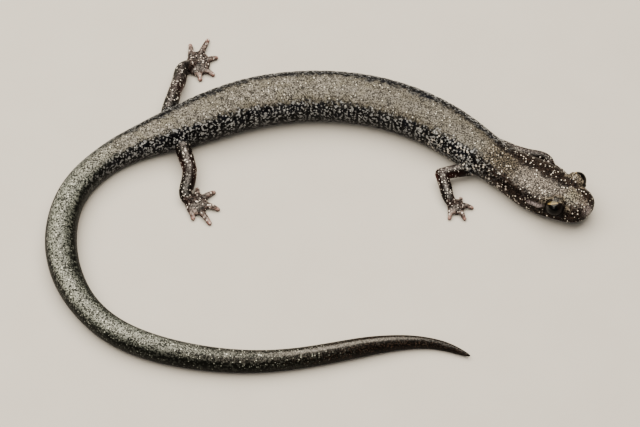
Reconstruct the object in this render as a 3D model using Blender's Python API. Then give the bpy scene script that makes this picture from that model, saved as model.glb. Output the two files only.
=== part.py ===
# Valley and ridge salamander, a still model at life size, lying in a curve on the floor.
# The head points to +X, the back faces +Z, and the belly, tail and soles rest at height 0.
# Every size below is in millimetres and is turned into metres as the meshes are made.

import bpy
import bmesh
import numpy as np
from math import pi, radians
from mathutils import Matrix, Vector

MM = 0.001
GAP = 0.3                  # clear space kept between two neighbouring nodes

# The way the middle of the body takes over the floor, from the snout to the tail tip.
BODY_WAY = (
    (26.75, -1.45), (24.4, 0.3), (20.35, 3.2), (17.1, 5.75), (13.3, 9.1),
    (7.6, 12.45), (0.0, 13.9), (-7.7, 12.7), (-14.0, 10.0), (-20.2, 6.95),
    (-24.25, 2.3), (-25.5, -3.4), (-24.35, -9.5), (-20.1, -15.3), (-13.0, -18.4),
    (-5.0, -19.05), (2.0, -17.8), (8.0, -16.6), (11.5, -16.8), (14.3, -18.0))

# Sections of the body: distance behind the snout, half width, underside height,
# height of the widest level and height of the back.
SECTIONS = (
    (0.0, 1.75, 1.05, 1.72, 2.88),
    (1.0, 1.98, 0.86, 1.62, 3.05),
    (2.0, 2.22, 0.68, 1.52, 3.28),
    (3.2, 2.48, 0.50, 1.48, 3.45),
    (4.6, 2.78, 0.36, 1.50, 3.50),
    (6.4, 2.88, 0.26, 1.60, 3.52),
    (8.2, 2.62, 0.18, 1.70, 3.50),
    (10.2, 2.30, 0.08, 1.80, 3.55),
    (12.0, 2.28, -0.02, 1.90, 3.75),
    (15.5, 2.48, -0.10, 2.05, 4.15),
    (19.0, 2.56, -0.15, 2.20, 4.45),
    (28.0, 2.66, -0.16, 2.30, 4.68),
    (37.0, 2.70, -0.16, 2.28, 4.66),
    (43.0, 2.56, -0.14, 2.15, 4.40),
    (47.5, 2.14, -0.12, 1.90, 3.84),
    (52.0, 1.62, -0.10, 1.58, 3.15),
    (56.5, 1.42, -0.10, 1.44, 2.86),
    (62.0, 1.50, -0.10, 1.46, 2.90),
    (67.0, 1.58, -0.10, 1.46, 2.90),
    (71.0, 1.50, -0.10, 1.38, 2.72),
    (76.0, 1.30, -0.10, 1.28, 2.55),
    (82.0, 1.27, -0.10, 1.22, 2.42),
    (90.0, 1.12, -0.09, 1.10, 2.20),
    (97.0, 0.98, -0.08, 0.98, 1.96),
    (103.0, 0.92, -0.07, 0.90, 1.80),
    (107.5, 0.70, -0.05, 0.70, 1.42),
    (111.0, 0.46, -0.04, 0.50, 1.02),
    (114.0, 0.34, -0.02, 0.38, 0.76),
    (118.0, 0.26, 0.00, 0.30, 0.60))

SNOUT_ROUND = 1.7          # length over which the snout rounds off to its tip
SNOUT_BLUNT = 2.5          # above 2 the snout is blunter than a half circle
TAIL_ROUND = 3.0           # length over which the tail tip closes
BACK_SQUARE = 2.15         # above 2 the back is broader than an ellipse
HEAD_SQUARE = 2.5          # the head is flatter on top than the trunk
MOUTH_END = 5.0            # how far behind the snout the corner of the mouth lies
MOUTH_DEPTH = 0.16
LIP_SWELL = 0.06           # the upper lip stands out a little above the mouth line
GULAR_FOLD = 11.0          # the skin fold that crosses the throat
BROW_FURROW = 0.12         # depth of the groove from the eye back to the gular fold

# Eyes
EYE_RADIUS = 0.86
EYE_BACK = 2.90            # distance of the eyes behind the snout
EYE_OUT = 2.07             # distance of each eye from the midline
EYE_HEIGHT = 2.72
LID_RADIUS = 1.32          # the lids stand on a dome of this radius
LID_IN = 0.26              # how far the dome's middle lies inside the eye's middle
LID_UP = 0.08              # and how far it lies above

# Costal grooves, the upright creases between the ribs
GROOVE_COUNT = 20
GROOVE_FIRST = 18.8
GROOVE_LAST = 45.6
GROOVE_DEPTH = 0.17
GROOVE_HALF = 0.17
MIDLINE_DEPTH = 0.10       # shallow furrow along the middle of the back

# Where the long body is parted, as distances behind the snout
CUTS = (
    ("head", 0.0, GULAR_FOLD),
    ("neck", GULAR_FOLD, 14.4),
    ("chest", 14.4, 19.6),
    ("trunk_front", 19.6, 28.0),
    ("trunk_middle", 28.0, 36.5),
    ("trunk_rear", 36.5, 44.2),
    ("hips", 44.2, 50.2),
    ("tail_base", 50.2, 58.0),
    ("tail_upper", 58.0, 66.0),
    ("tail_bend", 66.0, 74.0),
    ("tail_middle", 74.0, 83.0),
    ("tail_lower", 83.0, 93.0),
    ("tail_end", 93.0, 104.0),
    ("tail_tip", 104.0, None))

# Legs: root, elbow or knee, wrist or ankle, each as place on the floor and height.
LEGS = {
    "right_arm": ((15.9, 4.9, 1.25), (12.2, 4.1, 1.30), (13.0, 1.15, 0.72)),
    "left_arm": ((15.8, 9.1, 1.20), (19.9, 7.2, 1.22), (23.05, 6.5, 0.80)),
    "right_leg": ((-14.35, 8.8, 1.65), (-13.1, 4.4, 1.65), (-13.4, 1.6, 0.78)),
    "left_leg": ((-15.8, 10.6, 1.70), (-14.95, 15.4, 1.70), (-14.3, 19.2, 0.80))}

# Half widths of each limb at its root, before and after the joint, and at its end.
LIMB_HALF = {
    "right_arm": (0.62, 0.54, 0.60, 0.52),
    "left_arm": (0.62, 0.56, 0.60, 0.47),
    "right_leg": (0.78, 0.68, 0.68, 0.60),
    "left_leg": (0.78, 0.63, 0.65, 0.64)}
LIMB_DEEP = 1.08           # a limb is a little deeper than it is wide

# Hands and feet: palm centre, its half sizes along X and Y, and each toe's base and tip.
FEET = {
    "right_hand": ((13.6, 0.6), (0.84, 0.92), (
        ((13.98, 1.1), (14.22, 2.0)), ((14.22, 0.78), (15.46, 0.51)),
        ((13.95, 0.12), (14.53, -1.12)), ((13.1, 0.4), (12.85, -1.06)))),
    "left_hand": ((23.6, 5.35), (0.82, 0.82), (
        ((23.3, 4.85), (23.15, 4.15)), ((23.8, 4.8), (24.4, 3.8)),
        ((24.1, 5.05), (25.15, 4.15)), ((24.15, 5.5), (24.95, 5.05)))),
    "right_foot": ((-12.35, 0.95), (1.12, 1.36), (
        ((-12.35, 1.9), (-12.35, 3.25)), ((-11.74, 1.7), (-10.47, 2.75)),
        ((-11.41, 0.8), (-9.95, 0.25)), ((-11.99, 0.06), (-10.84, -1.7)),
        ((-12.95, 0.35), (-12.6, -1.12)))),
    "left_foot": ((-12.85, 20.35), (1.22, 1.68), (
        ((-12.75, 19.2), (-12.5, 17.85)), ((-12.25, 19.45), (-11.0, 18.65)),
        ((-12.05, 20.7), (-10.7, 21.4)), ((-12.65, 21.5), (-11.85, 24.1)),
        ((-13.55, 21.2), (-13.8, 23.35))))}
TOE_HALF = {"hand": (0.28, 0.20), "foot": (0.33, 0.22)}
PALM_HIGH = 0.78
PALM_FLAT = 0.62           # half height of a palm against its full height
PALM_LEVEL = 0.38          # height of a palm's middle against its full height
KNUCKLE_RISE = 0.10        # how far a toe arches between base and tip

# Nostrils, and the fine groove that runs from each down to the lip. Places are distance
# behind the snout, distance from the midline and height.
NOSTRIL = (0.30, 1.12, 2.42)
NOSTRIL_RADIUS = 0.17
NOSE_GROOVE = ((0.22, 1.18, 2.36), (0.10, 1.05, 1.90), (0.12, 1.00, 1.62))
NOSE_GROOVE_HALF = (0.09, 0.085, 0.085)

# How finely the skin is divided
HEAD_COLUMNS_ABOVE = (0.0, 0.24, 0.48, 0.70, 0.90, 1.06, 1.20, 1.32, 1.42, 1.505)
HEAD_COLUMNS_BELOW = (1.5708, 1.64, 1.74, 1.90, 2.15, 2.45, 2.80)
SNOUT_RINGS = (0.012, 0.07, 0.2, 0.42, 0.7)
FACE_RINGS = (1.0, 5.6, 0.22)
CHEEK_RINGS = (5.7, 9.6, 0.55)
FOLD_RINGS = (9.9, 10.2, 10.45)
TIP_RINGS = (1.6, 1.0, 0.55, 0.25, 0.1, 0.03)

# Colours are linear, read as the eye sees each part in soft light.
SLATE_BACK = (0.165, 0.165, 0.145)
DARK_TAIL = (0.060, 0.062, 0.055)
DARK_LIMB = (0.050, 0.042, 0.040)
FOOT_GREY = (0.130, 0.110, 0.105)
EYE_DARK = (0.012, 0.010, 0.008)


def clear_scene():
    for thing in list(bpy.data.objects):
        bpy.data.objects.remove(thing, do_unlink=True)


def new_material(name, colour, roughness):
    material = bpy.data.materials.new(name)
    material.use_nodes = True
    shader = material.node_tree.nodes["Principled BSDF"]
    shader.inputs["Base Color"].default_value = (*colour, 1.0)
    shader.inputs["Roughness"].default_value = roughness
    shader.inputs["Metallic"].default_value = 0.0
    return material


def smooth_curve(knots, values, at):
    """Natural cubic spline through the values at the knots, read at the places `at`."""
    knots = np.asarray(knots, float)
    values = np.asarray(values, float)
    steps = np.diff(knots)
    count = len(knots)
    left = np.eye(count)
    right = np.zeros_like(values)
    for i in range(1, count - 1):
        left[i, i - 1] = steps[i - 1]
        left[i, i] = 2 * (steps[i - 1] + steps[i])
        left[i, i + 1] = steps[i]
        right[i] = 6 * ((values[i + 1] - values[i]) / steps[i]
                        - (values[i] - values[i - 1]) / steps[i - 1])
    bend = np.linalg.solve(left, right)
    k = np.clip(np.searchsorted(knots, at) - 1, 0, count - 2)
    h = steps[k][:, None]
    a = ((knots[k + 1] - at)[:, None]) / h
    b = 1 - a
    return (a * values[k] + b * values[k + 1]
            + ((a ** 3 - a) * bend[k] + (b ** 3 - b) * bend[k + 1]) * h ** 2 / 6)


def steady_curve(knots, values, at):
    """Smooth curve through the values that never swings past them."""
    knots = np.asarray(knots, float)
    values = np.asarray(values, float)
    steps = np.diff(knots)
    slopes = np.diff(values) / steps
    tangents = np.zeros(len(knots))
    tangents[0] = slopes[0]
    tangents[-1] = slopes[-1]
    for i in range(1, len(knots) - 1):
        if slopes[i - 1] * slopes[i] > 0:
            w1 = 2 * steps[i] + steps[i - 1]
            w2 = steps[i] + 2 * steps[i - 1]
            tangents[i] = (w1 + w2) / (w1 / slopes[i - 1] + w2 / slopes[i])
    k = np.clip(np.searchsorted(knots, at) - 1, 0, len(knots) - 2)
    h = steps[k]
    x = (at - knots[k]) / h
    return ((1 + 2 * x) * (1 - x) ** 2 * values[k] + x * (1 - x) ** 2 * h * tangents[k]
            + x * x * (3 - 2 * x) * values[k + 1] + x * x * (x - 1) * h * tangents[k + 1])


def lay_way():
    """Dense places along the middle of the body with their distance from the snout."""
    points = np.array(BODY_WAY)
    chords = np.concatenate(([0.0], np.cumsum(np.linalg.norm(np.diff(points, axis=0), axis=1))))
    places = smooth_curve(chords, points, np.linspace(0, chords[-1], 4000))
    along = np.concatenate(([0.0], np.cumsum(np.linalg.norm(np.diff(places, axis=0), axis=1))))
    return along, places


ALONG, PLACES = lay_way()
BODY_LENGTH = float(ALONG[-1])


def way_at(s):
    """Place on the floor below the body's middle and the unit vector towards the tail."""
    x = np.interp(s, ALONG, PLACES[:, 0])
    y = np.interp(s, ALONG, PLACES[:, 1])
    ahead = np.clip(s + 0.4, 0, BODY_LENGTH)
    behind = np.clip(s - 0.4, 0, BODY_LENGTH)
    dx = np.interp(ahead, ALONG, PLACES[:, 0]) - np.interp(behind, ALONG, PLACES[:, 0])
    dy = np.interp(ahead, ALONG, PLACES[:, 1]) - np.interp(behind, ALONG, PLACES[:, 1])
    length = np.hypot(dx, dy)
    return x, y, dx / length, dy / length


def rounding(s):
    """From 0 at either tip of the animal to 1 where its sections are whole."""
    front = np.clip(1 - s / SNOUT_ROUND, 0, 1)
    rear = np.clip(1 - (BODY_LENGTH - s) / TAIL_ROUND, 0, 1)
    return ((1 - front ** SNOUT_BLUNT) ** (1 / SNOUT_BLUNT)
            * (1 - rear ** 2) ** 0.5)


def section_sizes(s):
    knots = [row[0] for row in SECTIONS]
    half = steady_curve(knots, [row[1] for row in SECTIONS], s)
    low = steady_curve(knots, [row[2] for row in SECTIONS], s)
    level = steady_curve(knots, [row[3] for row in SECTIONS], s)
    high = steady_curve(knots, [row[4] for row in SECTIONS], s)
    scale = rounding(s)
    return half * scale, level + (low - level) * scale, level, level + (high - level) * scale


def bump(distance, half):
    return np.exp(-(distance / half) ** 2)


def crease_depth(s, turn, level_side):
    """How far the skin sinks at its grooves. `turn` is 0 on the midline of the back."""
    side = np.abs(turn)
    depth = MIDLINE_DEPTH * bump(side, 0.16) * np.clip((s - 13) / 4, 0, 1) * np.clip((56 - s) / 6, 0, 1)
    pitch = (GROOVE_LAST - GROOVE_FIRST) / (GROOVE_COUNT - 1)
    phase = (s - GROOVE_FIRST) / pitch
    nearest = np.clip(np.round(phase), 0, GROOVE_COUNT - 1)
    flank = np.clip((side - 0.35) / 0.6, 0, 1) * np.clip((2.75 - side) / 0.6, 0, 1)
    depth = depth + GROOVE_DEPTH * bump((phase - nearest) * pitch, GROOVE_HALF) * flank
    mouth = np.clip((MOUTH_END - s) / 0.4, 0, 1) * bump(level_side, 0.045)
    depth = depth + MOUTH_DEPTH * mouth
    depth = depth - LIP_SWELL * np.clip((MOUTH_END - s) / 0.8, 0, 1) * bump(level_side + 0.20, 0.12)
    furrow_turn = 1.14 + 0.035 * (s - 4.4)
    furrow = np.clip((s - 4.3) / 0.6, 0, 1) * np.clip((GULAR_FOLD + 0.4 - s) / 0.6, 0, 1)
    depth = depth + BROW_FURROW * furrow * bump(side - furrow_turn, 0.10)
    return depth


def skin_points(s, turn, swell=0.0, creased=True):
    """Grid of skin points, one row for each `s` and one column for each `turn`."""
    s = np.asarray(s, float)[:, None]
    turn = np.asarray(turn, float)[None, :]
    half, low, level, high = section_sizes(s[:, 0])
    half, low, level, high = (v[:, None] for v in (half, low, level, high))
    headness = np.clip((12 - s) / 6, 0, 1)
    power = 2 / (BACK_SQUARE + (HEAD_SQUARE - BACK_SQUARE) * headness)
    lateral = np.sign(np.sin(turn)) * np.abs(np.sin(turn)) ** power
    upward = np.sign(np.cos(turn)) * np.abs(np.cos(turn)) ** power
    depth = np.zeros_like(lateral)
    if creased:
        folded = np.abs(turn)
        depth = crease_depth(s, turn, folded - pi / 2)
        throat = np.clip((folded - 1.2) / 0.5, 0, 1)
        depth = depth - 0.10 * throat * bump(s - GULAR_FOLD + 0.5, 0.45)
        depth = depth + 0.10 * throat * bump(s - GULAR_FOLD - 0.15, 0.30)
    depth = np.minimum(depth, 0.4 * half)
    grow = swell - depth
    across = lateral * (half + grow)
    tall = np.where(upward > 0, high - level + grow, level - low + grow) * upward
    height = level + tall
    if creased:
        across, height, s_shift = raise_lids(s, across, height)
    else:
        s_shift = np.zeros_like(across)
    x, y, tx, ty = way_at(s[:, 0])
    x, y, tx, ty = (v[:, None] for v in (x, y, tx, ty))
    px = x + tx * s_shift - ty * across
    py = y + ty * s_shift + tx * across
    return np.stack((px, py, np.maximum(height, 0.0 if swell == 0 else -1.0)), axis=-1)


def raise_lids(s, across, height):
    """Push the skin out onto a dome round each eye."""
    s_shift = np.zeros_like(across)
    inside = EYE_OUT - LID_IN
    for side in (-1, 1):
        ds = s + s_shift - EYE_BACK
        dv = across - side * inside
        dh = height - (EYE_HEIGHT + LID_UP)
        reach = np.sqrt(ds ** 2 + dv ** 2 + dh ** 2) + 1e-6
        outside = (side * dv > -0.9) & (dh > -1.0)
        pushed = 0.5 * (reach + LID_RADIUS + np.sqrt((reach - LID_RADIUS) ** 2 + 0.012))
        factor = np.where(outside & (reach < LID_RADIUS * 1.6), pushed / reach, 1.0)
        fade = np.clip((LID_RADIUS * 1.6 - reach) / (LID_RADIUS * 0.5), 0, 1)
        factor = 1 + (factor - 1) * fade
        s_shift = s_shift + ds * (factor - 1)
        across = across + dv * (factor - 1)
        height = height + dh * (factor - 1)
    return across, height, s_shift


def frame_at(s, out, height):
    """World point at a distance behind the snout, a distance to the left and a height."""
    x, y, tx, ty = (float(v[0]) for v in way_at(np.array([s])))
    return Vector((x + ty * out, y - tx * out, height))


def mesh_object(name, verts, faces, home):
    mesh = bpy.data.meshes.new(name)
    mesh.from_pydata([tuple(float(c) * MM for c in v) for v in verts], [], faces)
    mesh.update()
    thing = bpy.data.objects.new(name, mesh)
    home.objects.link(thing)
    work = bmesh.new()
    work.from_mesh(mesh)
    bmesh.ops.remove_doubles(work, verts=work.verts, dist=0.000001)
    bmesh.ops.recalc_face_normals(work, faces=work.faces)
    work.to_mesh(mesh)
    work.free()
    return thing


def loft(name, grid, home):
    """Closed solid from rings of points, with a flat cap on the first and last ring."""
    rings, columns = grid.shape[:2]
    verts = grid.reshape(-1, 3)
    faces = []
    for r in range(rings - 1):
        for c in range(columns):
            d = (c + 1) % columns
            faces.append((r * columns + c, r * columns + d, (r + 1) * columns + d, (r + 1) * columns + c))
    faces.append(tuple(reversed(range(columns))))
    faces.append(tuple((rings - 1) * columns + c for c in range(columns)))
    return mesh_object(name, verts, faces, home)


def trunk_rings(start, end):
    """Ring places with extra rings at each costal groove."""
    pitch = (GROOVE_LAST - GROOVE_FIRST) / (GROOVE_COUNT - 1)
    places = [start, end]
    for k in range(GROOVE_COUNT):
        groove = GROOVE_FIRST + k * pitch
        for offset in (-0.26, 0.0, 0.26):
            if start + 0.15 < groove + offset < end - 0.15:
                places.append(groove + offset)
    places.sort()
    filled = [places[0]]
    for place in places[1:]:
        gap = place - filled[-1]
        for k in range(1, int(gap // 1.05) + 1):
            filled.append(filled[-1] + gap / (int(gap // 1.05) + 1))
        filled.append(place)
    return np.array(filled)


def even_columns(count):
    return np.linspace(-pi, pi, count, endpoint=False)


def head_columns():
    """Columns of the head, close together at the mouth line and round the eyes."""
    one_side = list(HEAD_COLUMNS_ABOVE + HEAD_COLUMNS_BELOW)
    return np.array([-t for t in reversed(one_side[1:])] + one_side + [pi])


def head_rings(end):
    places = list(SNOUT_RINGS)
    places += list(np.arange(*FACE_RINGS))
    places += list(np.arange(*CHEEK_RINGS))
    places += list(FOLD_RINGS) + [end]
    return np.array(places)


def body_node(name, start, end, home):
    first = start + GAP / 2
    last = BODY_LENGTH - 0.03 if end is None else end - GAP / 2
    if name == "head":
        return loft(name, skin_points(head_rings(last), head_columns()), home)
    if name == "neck":
        rings = [first, first + 0.25, first + 0.6, first + 1.2, first + 2.0, last]
        return loft(name, skin_points(rings, even_columns(28)), home)
    if last < 51:
        return loft(name, skin_points(trunk_rings(first, last), even_columns(24)), home)
    step = 1.15 if last < 80 else 1.35
    count = max(4, round((last - first) / step))
    rings = np.linspace(first, last, count + 1)
    if end is None:
        close = BODY_LENGTH - np.array(TIP_RINGS)
        rings = np.concatenate((np.linspace(first, close[0] - 0.8, count - 2), close))
    columns = 20 if last < 95 else 16
    return loft(name, skin_points(rings, even_columns(columns)), home)


def tube(name, ends, halves, home, sides=14, deep=1.0, rounded=(True, True)):
    """Solid tube along a few points, with half widths given at each of them."""
    points = [Vector(p) for p in ends]
    lengths = [0.0]
    for a, b in zip(points, points[1:]):
        lengths.append(lengths[-1] + (b - a).length)
    total = lengths[-1]
    fine = np.linspace(0, total, max(3, round(total / 0.55)) + 1)
    way = smooth_curve(lengths, [list(p) for p in points], fine) if len(points) > 2 else None
    half = np.interp(fine, lengths, halves)
    rows = []
    centres = []
    for i, t in enumerate(fine):
        if way is None:
            centre = points[0].lerp(points[1], t / total)
        else:
            centre = Vector(way[i])
        centres.append(centre)
    entries = [(centres[i], half[i]) for i in range(len(fine))]
    for end in (0, -1):
        if rounded[end]:
            tip, size = entries[end]
            inner = centres[1] if end == 0 else centres[-2]
            out = (tip - inner).normalized()
            caps = [(tip + out * size * 0.5, size * 0.87), (tip + out * size * 0.86, size * 0.5),
                    (tip + out * size * 0.985, size * 0.17)]
            if end == 0:
                entries = list(reversed(caps)) + entries
            else:
                entries = entries + caps
    for i, (centre, size) in enumerate(entries):
        before = entries[max(i - 1, 0)][0]
        after = entries[min(i + 1, len(entries) - 1)][0]
        along = (after - before).normalized()
        side = along.cross(Vector((0, 0, 1)))
        side = side.normalized() if side.length > 1e-4 else Vector((1, 0, 0))
        up = side.cross(along).normalized()
        ring = []
        for k in range(sides):
            angle = 2 * pi * (k + 0.5) / sides
            ring.append(centre + side * size * np.cos(angle) + up * size * deep * np.sin(angle))
        rows.append(ring)
    return loft(name, np.array([[list(p) for p in ring] for ring in rows]), home)


def join_pieces(name, pieces, home, solver="MANIFOLD"):
    """Fuse closed pieces into one and keep its largest closed surface."""
    base = pieces[0]
    group = bpy.data.collections.new(name + "_pieces")
    bpy.context.scene.collection.children.link(group)
    for piece in pieces[1:]:
        home.objects.unlink(piece)
        group.objects.link(piece)
    change = base.modifiers.new("fuse", "BOOLEAN")
    change.operation = "UNION"
    change.operand_type = "COLLECTION"
    change.collection = group
    change.solver = solver
    apply_changes(base)
    for piece in list(group.objects):
        bpy.data.objects.remove(piece, do_unlink=True)
    bpy.data.collections.remove(group)
    base.name = name
    base.data.name = name
    keep_largest(base)
    return base


def cut_with(base, cutter, solver="MANIFOLD"):
    change = base.modifiers.new("cut", "BOOLEAN")
    change.operation = "DIFFERENCE"
    change.object = cutter
    change.solver = solver
    apply_changes(base)
    bpy.data.objects.remove(cutter, do_unlink=True)


def apply_changes(thing):
    graph = bpy.context.evaluated_depsgraph_get()
    graph.update()
    mesh = bpy.data.meshes.new_from_object(thing.evaluated_get(graph))
    thing.modifiers.clear()
    thing.data = mesh
    tidy_mesh(mesh)


def tidy_mesh(mesh):
    work = bmesh.new()
    work.from_mesh(mesh)
    bmesh.ops.remove_doubles(work, verts=work.verts, dist=0.0000001)
    bmesh.ops.recalc_face_normals(work, faces=work.faces)
    work.to_mesh(mesh)
    work.free()


def keep_largest(thing):
    """Drop every closed surface but the largest."""
    work = bmesh.new()
    work.from_mesh(thing.data)
    work.faces.ensure_lookup_table()
    left = set(work.faces)
    shells = []
    while left:
        seed = left.pop()
        shell = {seed}
        front = [seed]
        while front:
            face = front.pop()
            for edge in face.edges:
                for other in edge.link_faces:
                    if other in left:
                        left.discard(other)
                        shell.add(other)
                        front.append(other)
        shells.append(shell)
    shells.sort(key=lambda shell: sum(face.calc_area() for face in shell), reverse=True)
    scraps = [face for shell in shells[1:] for face in shell]
    if scraps:
        bmesh.ops.delete(work, geom=scraps, context="FACES")
        loose = [v for v in work.verts if not v.link_faces]
        bmesh.ops.delete(work, geom=loose, context="VERTS")
    work.to_mesh(thing.data)
    work.free()


def ball(name, centre, radius, home, segments=20, rings=12):
    mesh = bpy.data.meshes.new(name)
    work = bmesh.new()
    bmesh.ops.create_uvsphere(work, u_segments=segments, v_segments=rings, radius=radius * MM)
    bmesh.ops.translate(work, verts=work.verts, vec=Vector(centre) * MM)
    work.to_mesh(mesh)
    work.free()
    thing = bpy.data.objects.new(name, mesh)
    home.objects.link(thing)
    return thing


def stretch(thing, centre, factors):
    """Scale a piece about its centre, by one factor for each direction."""
    middle = Matrix.Translation(Vector(centre) * MM)
    thing.data.transform(middle @ Matrix.Diagonal((*factors, 1)) @ middle.inverted())


def box(name, low, high, home):
    mesh = bpy.data.meshes.new(name)
    work = bmesh.new()
    bmesh.ops.create_cube(work, size=MM)
    size = Vector(high) - Vector(low)
    middle = (Vector(high) + Vector(low)) * 0.5 * MM
    bmesh.ops.scale(work, verts=work.verts, vec=size)
    bmesh.ops.translate(work, verts=work.verts, vec=middle)
    work.to_mesh(mesh)
    work.free()
    thing = bpy.data.objects.new(name, mesh)
    home.objects.link(thing)
    return thing


def floor_cutter(home):
    return box("floor_cutter", (-60, -60, -20), (60, 60, 0), home)


def half_space(name, point, normal, home):
    """Large block whose one face passes through the point, facing along the normal."""
    thing = box(name, (-8, -8, 0), (8, 8, 16), home)
    turn = Vector(normal).to_track_quat("Z", "Y").to_matrix().to_4x4()
    thing.data.transform(Matrix.Translation(Vector(point) * MM) @ turn)
    return thing


def eye_centre(side):
    return frame_at(EYE_BACK, side * EYE_OUT, EYE_HEIGHT)


def make_head(home, cutters):
    head = body_node("head", CUTS[0][1], CUTS[0][2], home)
    for side in (-1, 1):
        socket = ball("socket", eye_centre(side), EYE_RADIUS + GAP, cutters, 24, 14)
        cut_with(head, socket)
        back, out, height = NOSTRIL
        nostril = ball("nostril", frame_at(back, side * out, height), NOSTRIL_RADIUS, cutters, 10, 6)
        cut_with(head, nostril)
        way = [frame_at(back, side * out, height) for back, out, height in NOSE_GROOVE]
        groove = tube("nose_groove", way, NOSE_GROOVE_HALF, cutters, sides=6)
        cut_with(head, groove)
    keep_largest(head)
    return head


def make_limb(name, home, cutters, names):
    """Upper and lower length of one leg, parted at the elbow or knee."""
    root, joint, end = (Vector(p) for p in LEGS[name])
    halves = LIMB_HALF[name]
    out = (joint - root).normalized()
    down = (end - joint).normalized()
    split = (out + down).normalized()
    reach = GAP / 2
    upper = tube(names[0], (root, root.lerp(joint, 0.5) + Vector((0, 0, 0.12)), joint + out * 0.6),
                 (halves[0], (halves[0] + halves[1]) / 2, halves[1]), home, deep=LIMB_DEEP)
    cut_with(upper, half_space("joint_cut", joint - split * reach, split, cutters))
    trunk_start, trunk_end = (11.5, 22.0) if "arm" in name else (41.0, 53.0)
    trunk_start = 9.0 if name == "left_arm" else trunk_start
    swollen = loft("trunk_cutter", skin_points(np.linspace(trunk_start, trunk_end, 22), even_columns(32),
                                               swell=GAP, creased=False), cutters)
    cut_with(upper, swollen)
    keep_largest(upper)
    lower = tube(names[1], (joint - down * 0.6, joint.lerp(end, 0.5), end),
                 (halves[2], (halves[2] + halves[3]) / 2 + 0.04, halves[3]), home,
                 deep=LIMB_DEEP, rounded=(True, False))
    cut_with(lower, half_space("joint_cut", joint + split * reach, -split, cutters))
    keep_largest(lower)
    return upper, lower


def make_foot(name, limb, home, cutters):
    """Palm and toes fused into one, flat where they meet the floor."""
    (px, py), (wide, long), toes = FEET[name]
    kind = "hand" if "hand" in name else "foot"
    wrist = Vector(LEGS[limb][2])
    elbow = Vector(LEGS[limb][1])
    down = (wrist - elbow).normalized()
    heel = wrist - down * 0.1
    palm_middle = Vector((px, py, PALM_HIGH * PALM_LEVEL))
    pieces = [ball(name, palm_middle, 1.0, home, 14, 8)]
    stretch(pieces[0], palm_middle, (wide, long, PALM_HIGH * PALM_FLAT))
    stub = tube("wrist", (heel, heel.lerp(palm_middle, 0.5) + Vector((0, 0, 0.02)), palm_middle),
                (LIMB_HALF[limb][3], LIMB_HALF[limb][3] * 1.05, wide * 0.62), home, sides=12,
                rounded=(False, True))
    pieces.append(stub)
    base_half, tip_half = TOE_HALF[kind]
    for (bx, by), (tx, ty) in toes:
        base = Vector((bx, by, 0.34))
        tip = Vector((tx, ty, tip_half * 0.72))
        inward = (palm_middle - base).normalized() * 0.25
        knuckle = base.lerp(tip, 0.45) + Vector((0, 0, KNUCKLE_RISE))
        short = (tip - base).normalized() * tip_half
        pieces.append(tube("toe", (base + inward, knuckle, tip - short),
                           (base_half, base_half * 0.92, tip_half), home, sides=7))
    foot = join_pieces(name, pieces, home)
    cut_with(foot, floor_cutter(cutters))
    room = LIMB_HALF[limb][3] + GAP
    sleeve = tube("wrist_cut", (elbow.lerp(wrist, 0.4), wrist + down * GAP),
                  (room + 0.25, room), cutters, rounded=(False, False))
    cut_with(foot, sleeve)
    keep_largest(foot)
    return foot


def finish(thing, material):
    thing.data.materials.clear()
    thing.data.materials.append(material)
    thing.data.shade_smooth()
    thing.data.set_sharp_from_angle(angle=radians(50))


def settle(home):
    """Bring the middle of the whole animal's box over the origin."""
    corners = np.array([v.co for thing in home.objects for v in thing.data.vertices])
    middle = (corners.min(axis=0) + corners.max(axis=0)) / 2
    shift = Matrix.Translation((-middle[0], -middle[1], 0))
    for thing in home.objects:
        thing.data.transform(shift)
    return middle / MM


def main():
    clear_scene()
    scene = bpy.context.scene
    home = bpy.data.collections.new("valley_and_ridge_salamander")
    cutters = bpy.data.collections.new("cutters")
    cutters.hide_render = True
    scene.collection.children.link(home)
    scene.collection.children.link(cutters)

    head = make_head(home, cutters)
    finish(head, new_material("head_skin", SLATE_BACK, 0.35))
    for side, label in ((-1, "right"), (1, "left")):
        eye = ball("eye_" + label, eye_centre(side), EYE_RADIUS, home, 16, 10)
        finish(eye, new_material("eye_dark_" + label, EYE_DARK, 0.08))
    for name, start, end in CUTS[1:]:
        node = body_node(name, start, end, home)
        colour = DARK_TAIL if name.startswith("tail") else SLATE_BACK
        finish(node, new_material(name + "_skin", colour, 0.38))

    plans = (
        ("right_arm", "right_hand", ("upper_arm_right", "forearm_right"), "hand_right"),
        ("left_arm", "left_hand", ("upper_arm_left", "forearm_left"), "hand_left"),
        ("right_leg", "right_foot", ("thigh_right", "shin_right"), "foot_right"),
        ("left_leg", "left_foot", ("thigh_left", "shin_left"), "foot_left"))
    for limb, paw, names, paw_name in plans:
        upper, lower = make_limb(limb, home, cutters, names)
        finish(upper, new_material(names[0] + "_skin", DARK_LIMB, 0.40))
        finish(lower, new_material(names[1] + "_skin", DARK_LIMB, 0.40))
        foot = make_foot(paw, limb, home, cutters)
        foot.name = paw_name
        foot.data.name = paw_name
        finish(foot, new_material(paw_name + "_skin", FOOT_GREY, 0.45))
    middle = settle(home)
    print("body length", round(BODY_LENGTH, 1), "mm, box middle was", middle.round(2))
    return middle


BOX_MIDDLE = main()
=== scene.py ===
# %% [markdown]
# # A valley and ridge salamander, lying still
# The model is one moist skin, from the snout along the ribbed trunk to the tail tip, with four
# short legs that grow out of it, and two round eyes that sit under its lids. The solids of the
# frame give every size and place. This file dresses them: it rolls a fine skin round the same
# middle line, opens the lids, grows the legs into the flanks, and then paints the frosted back
# and the dotted flanks with patterns that are worked out from real sizes in millimetres. Part of
# that paint is painted sheen, highlight and shade.

# %% Load the frame
import bpy
import bmesh
import numpy as np
from math import pi, radians, cos, sin
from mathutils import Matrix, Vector, kdtree


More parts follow.
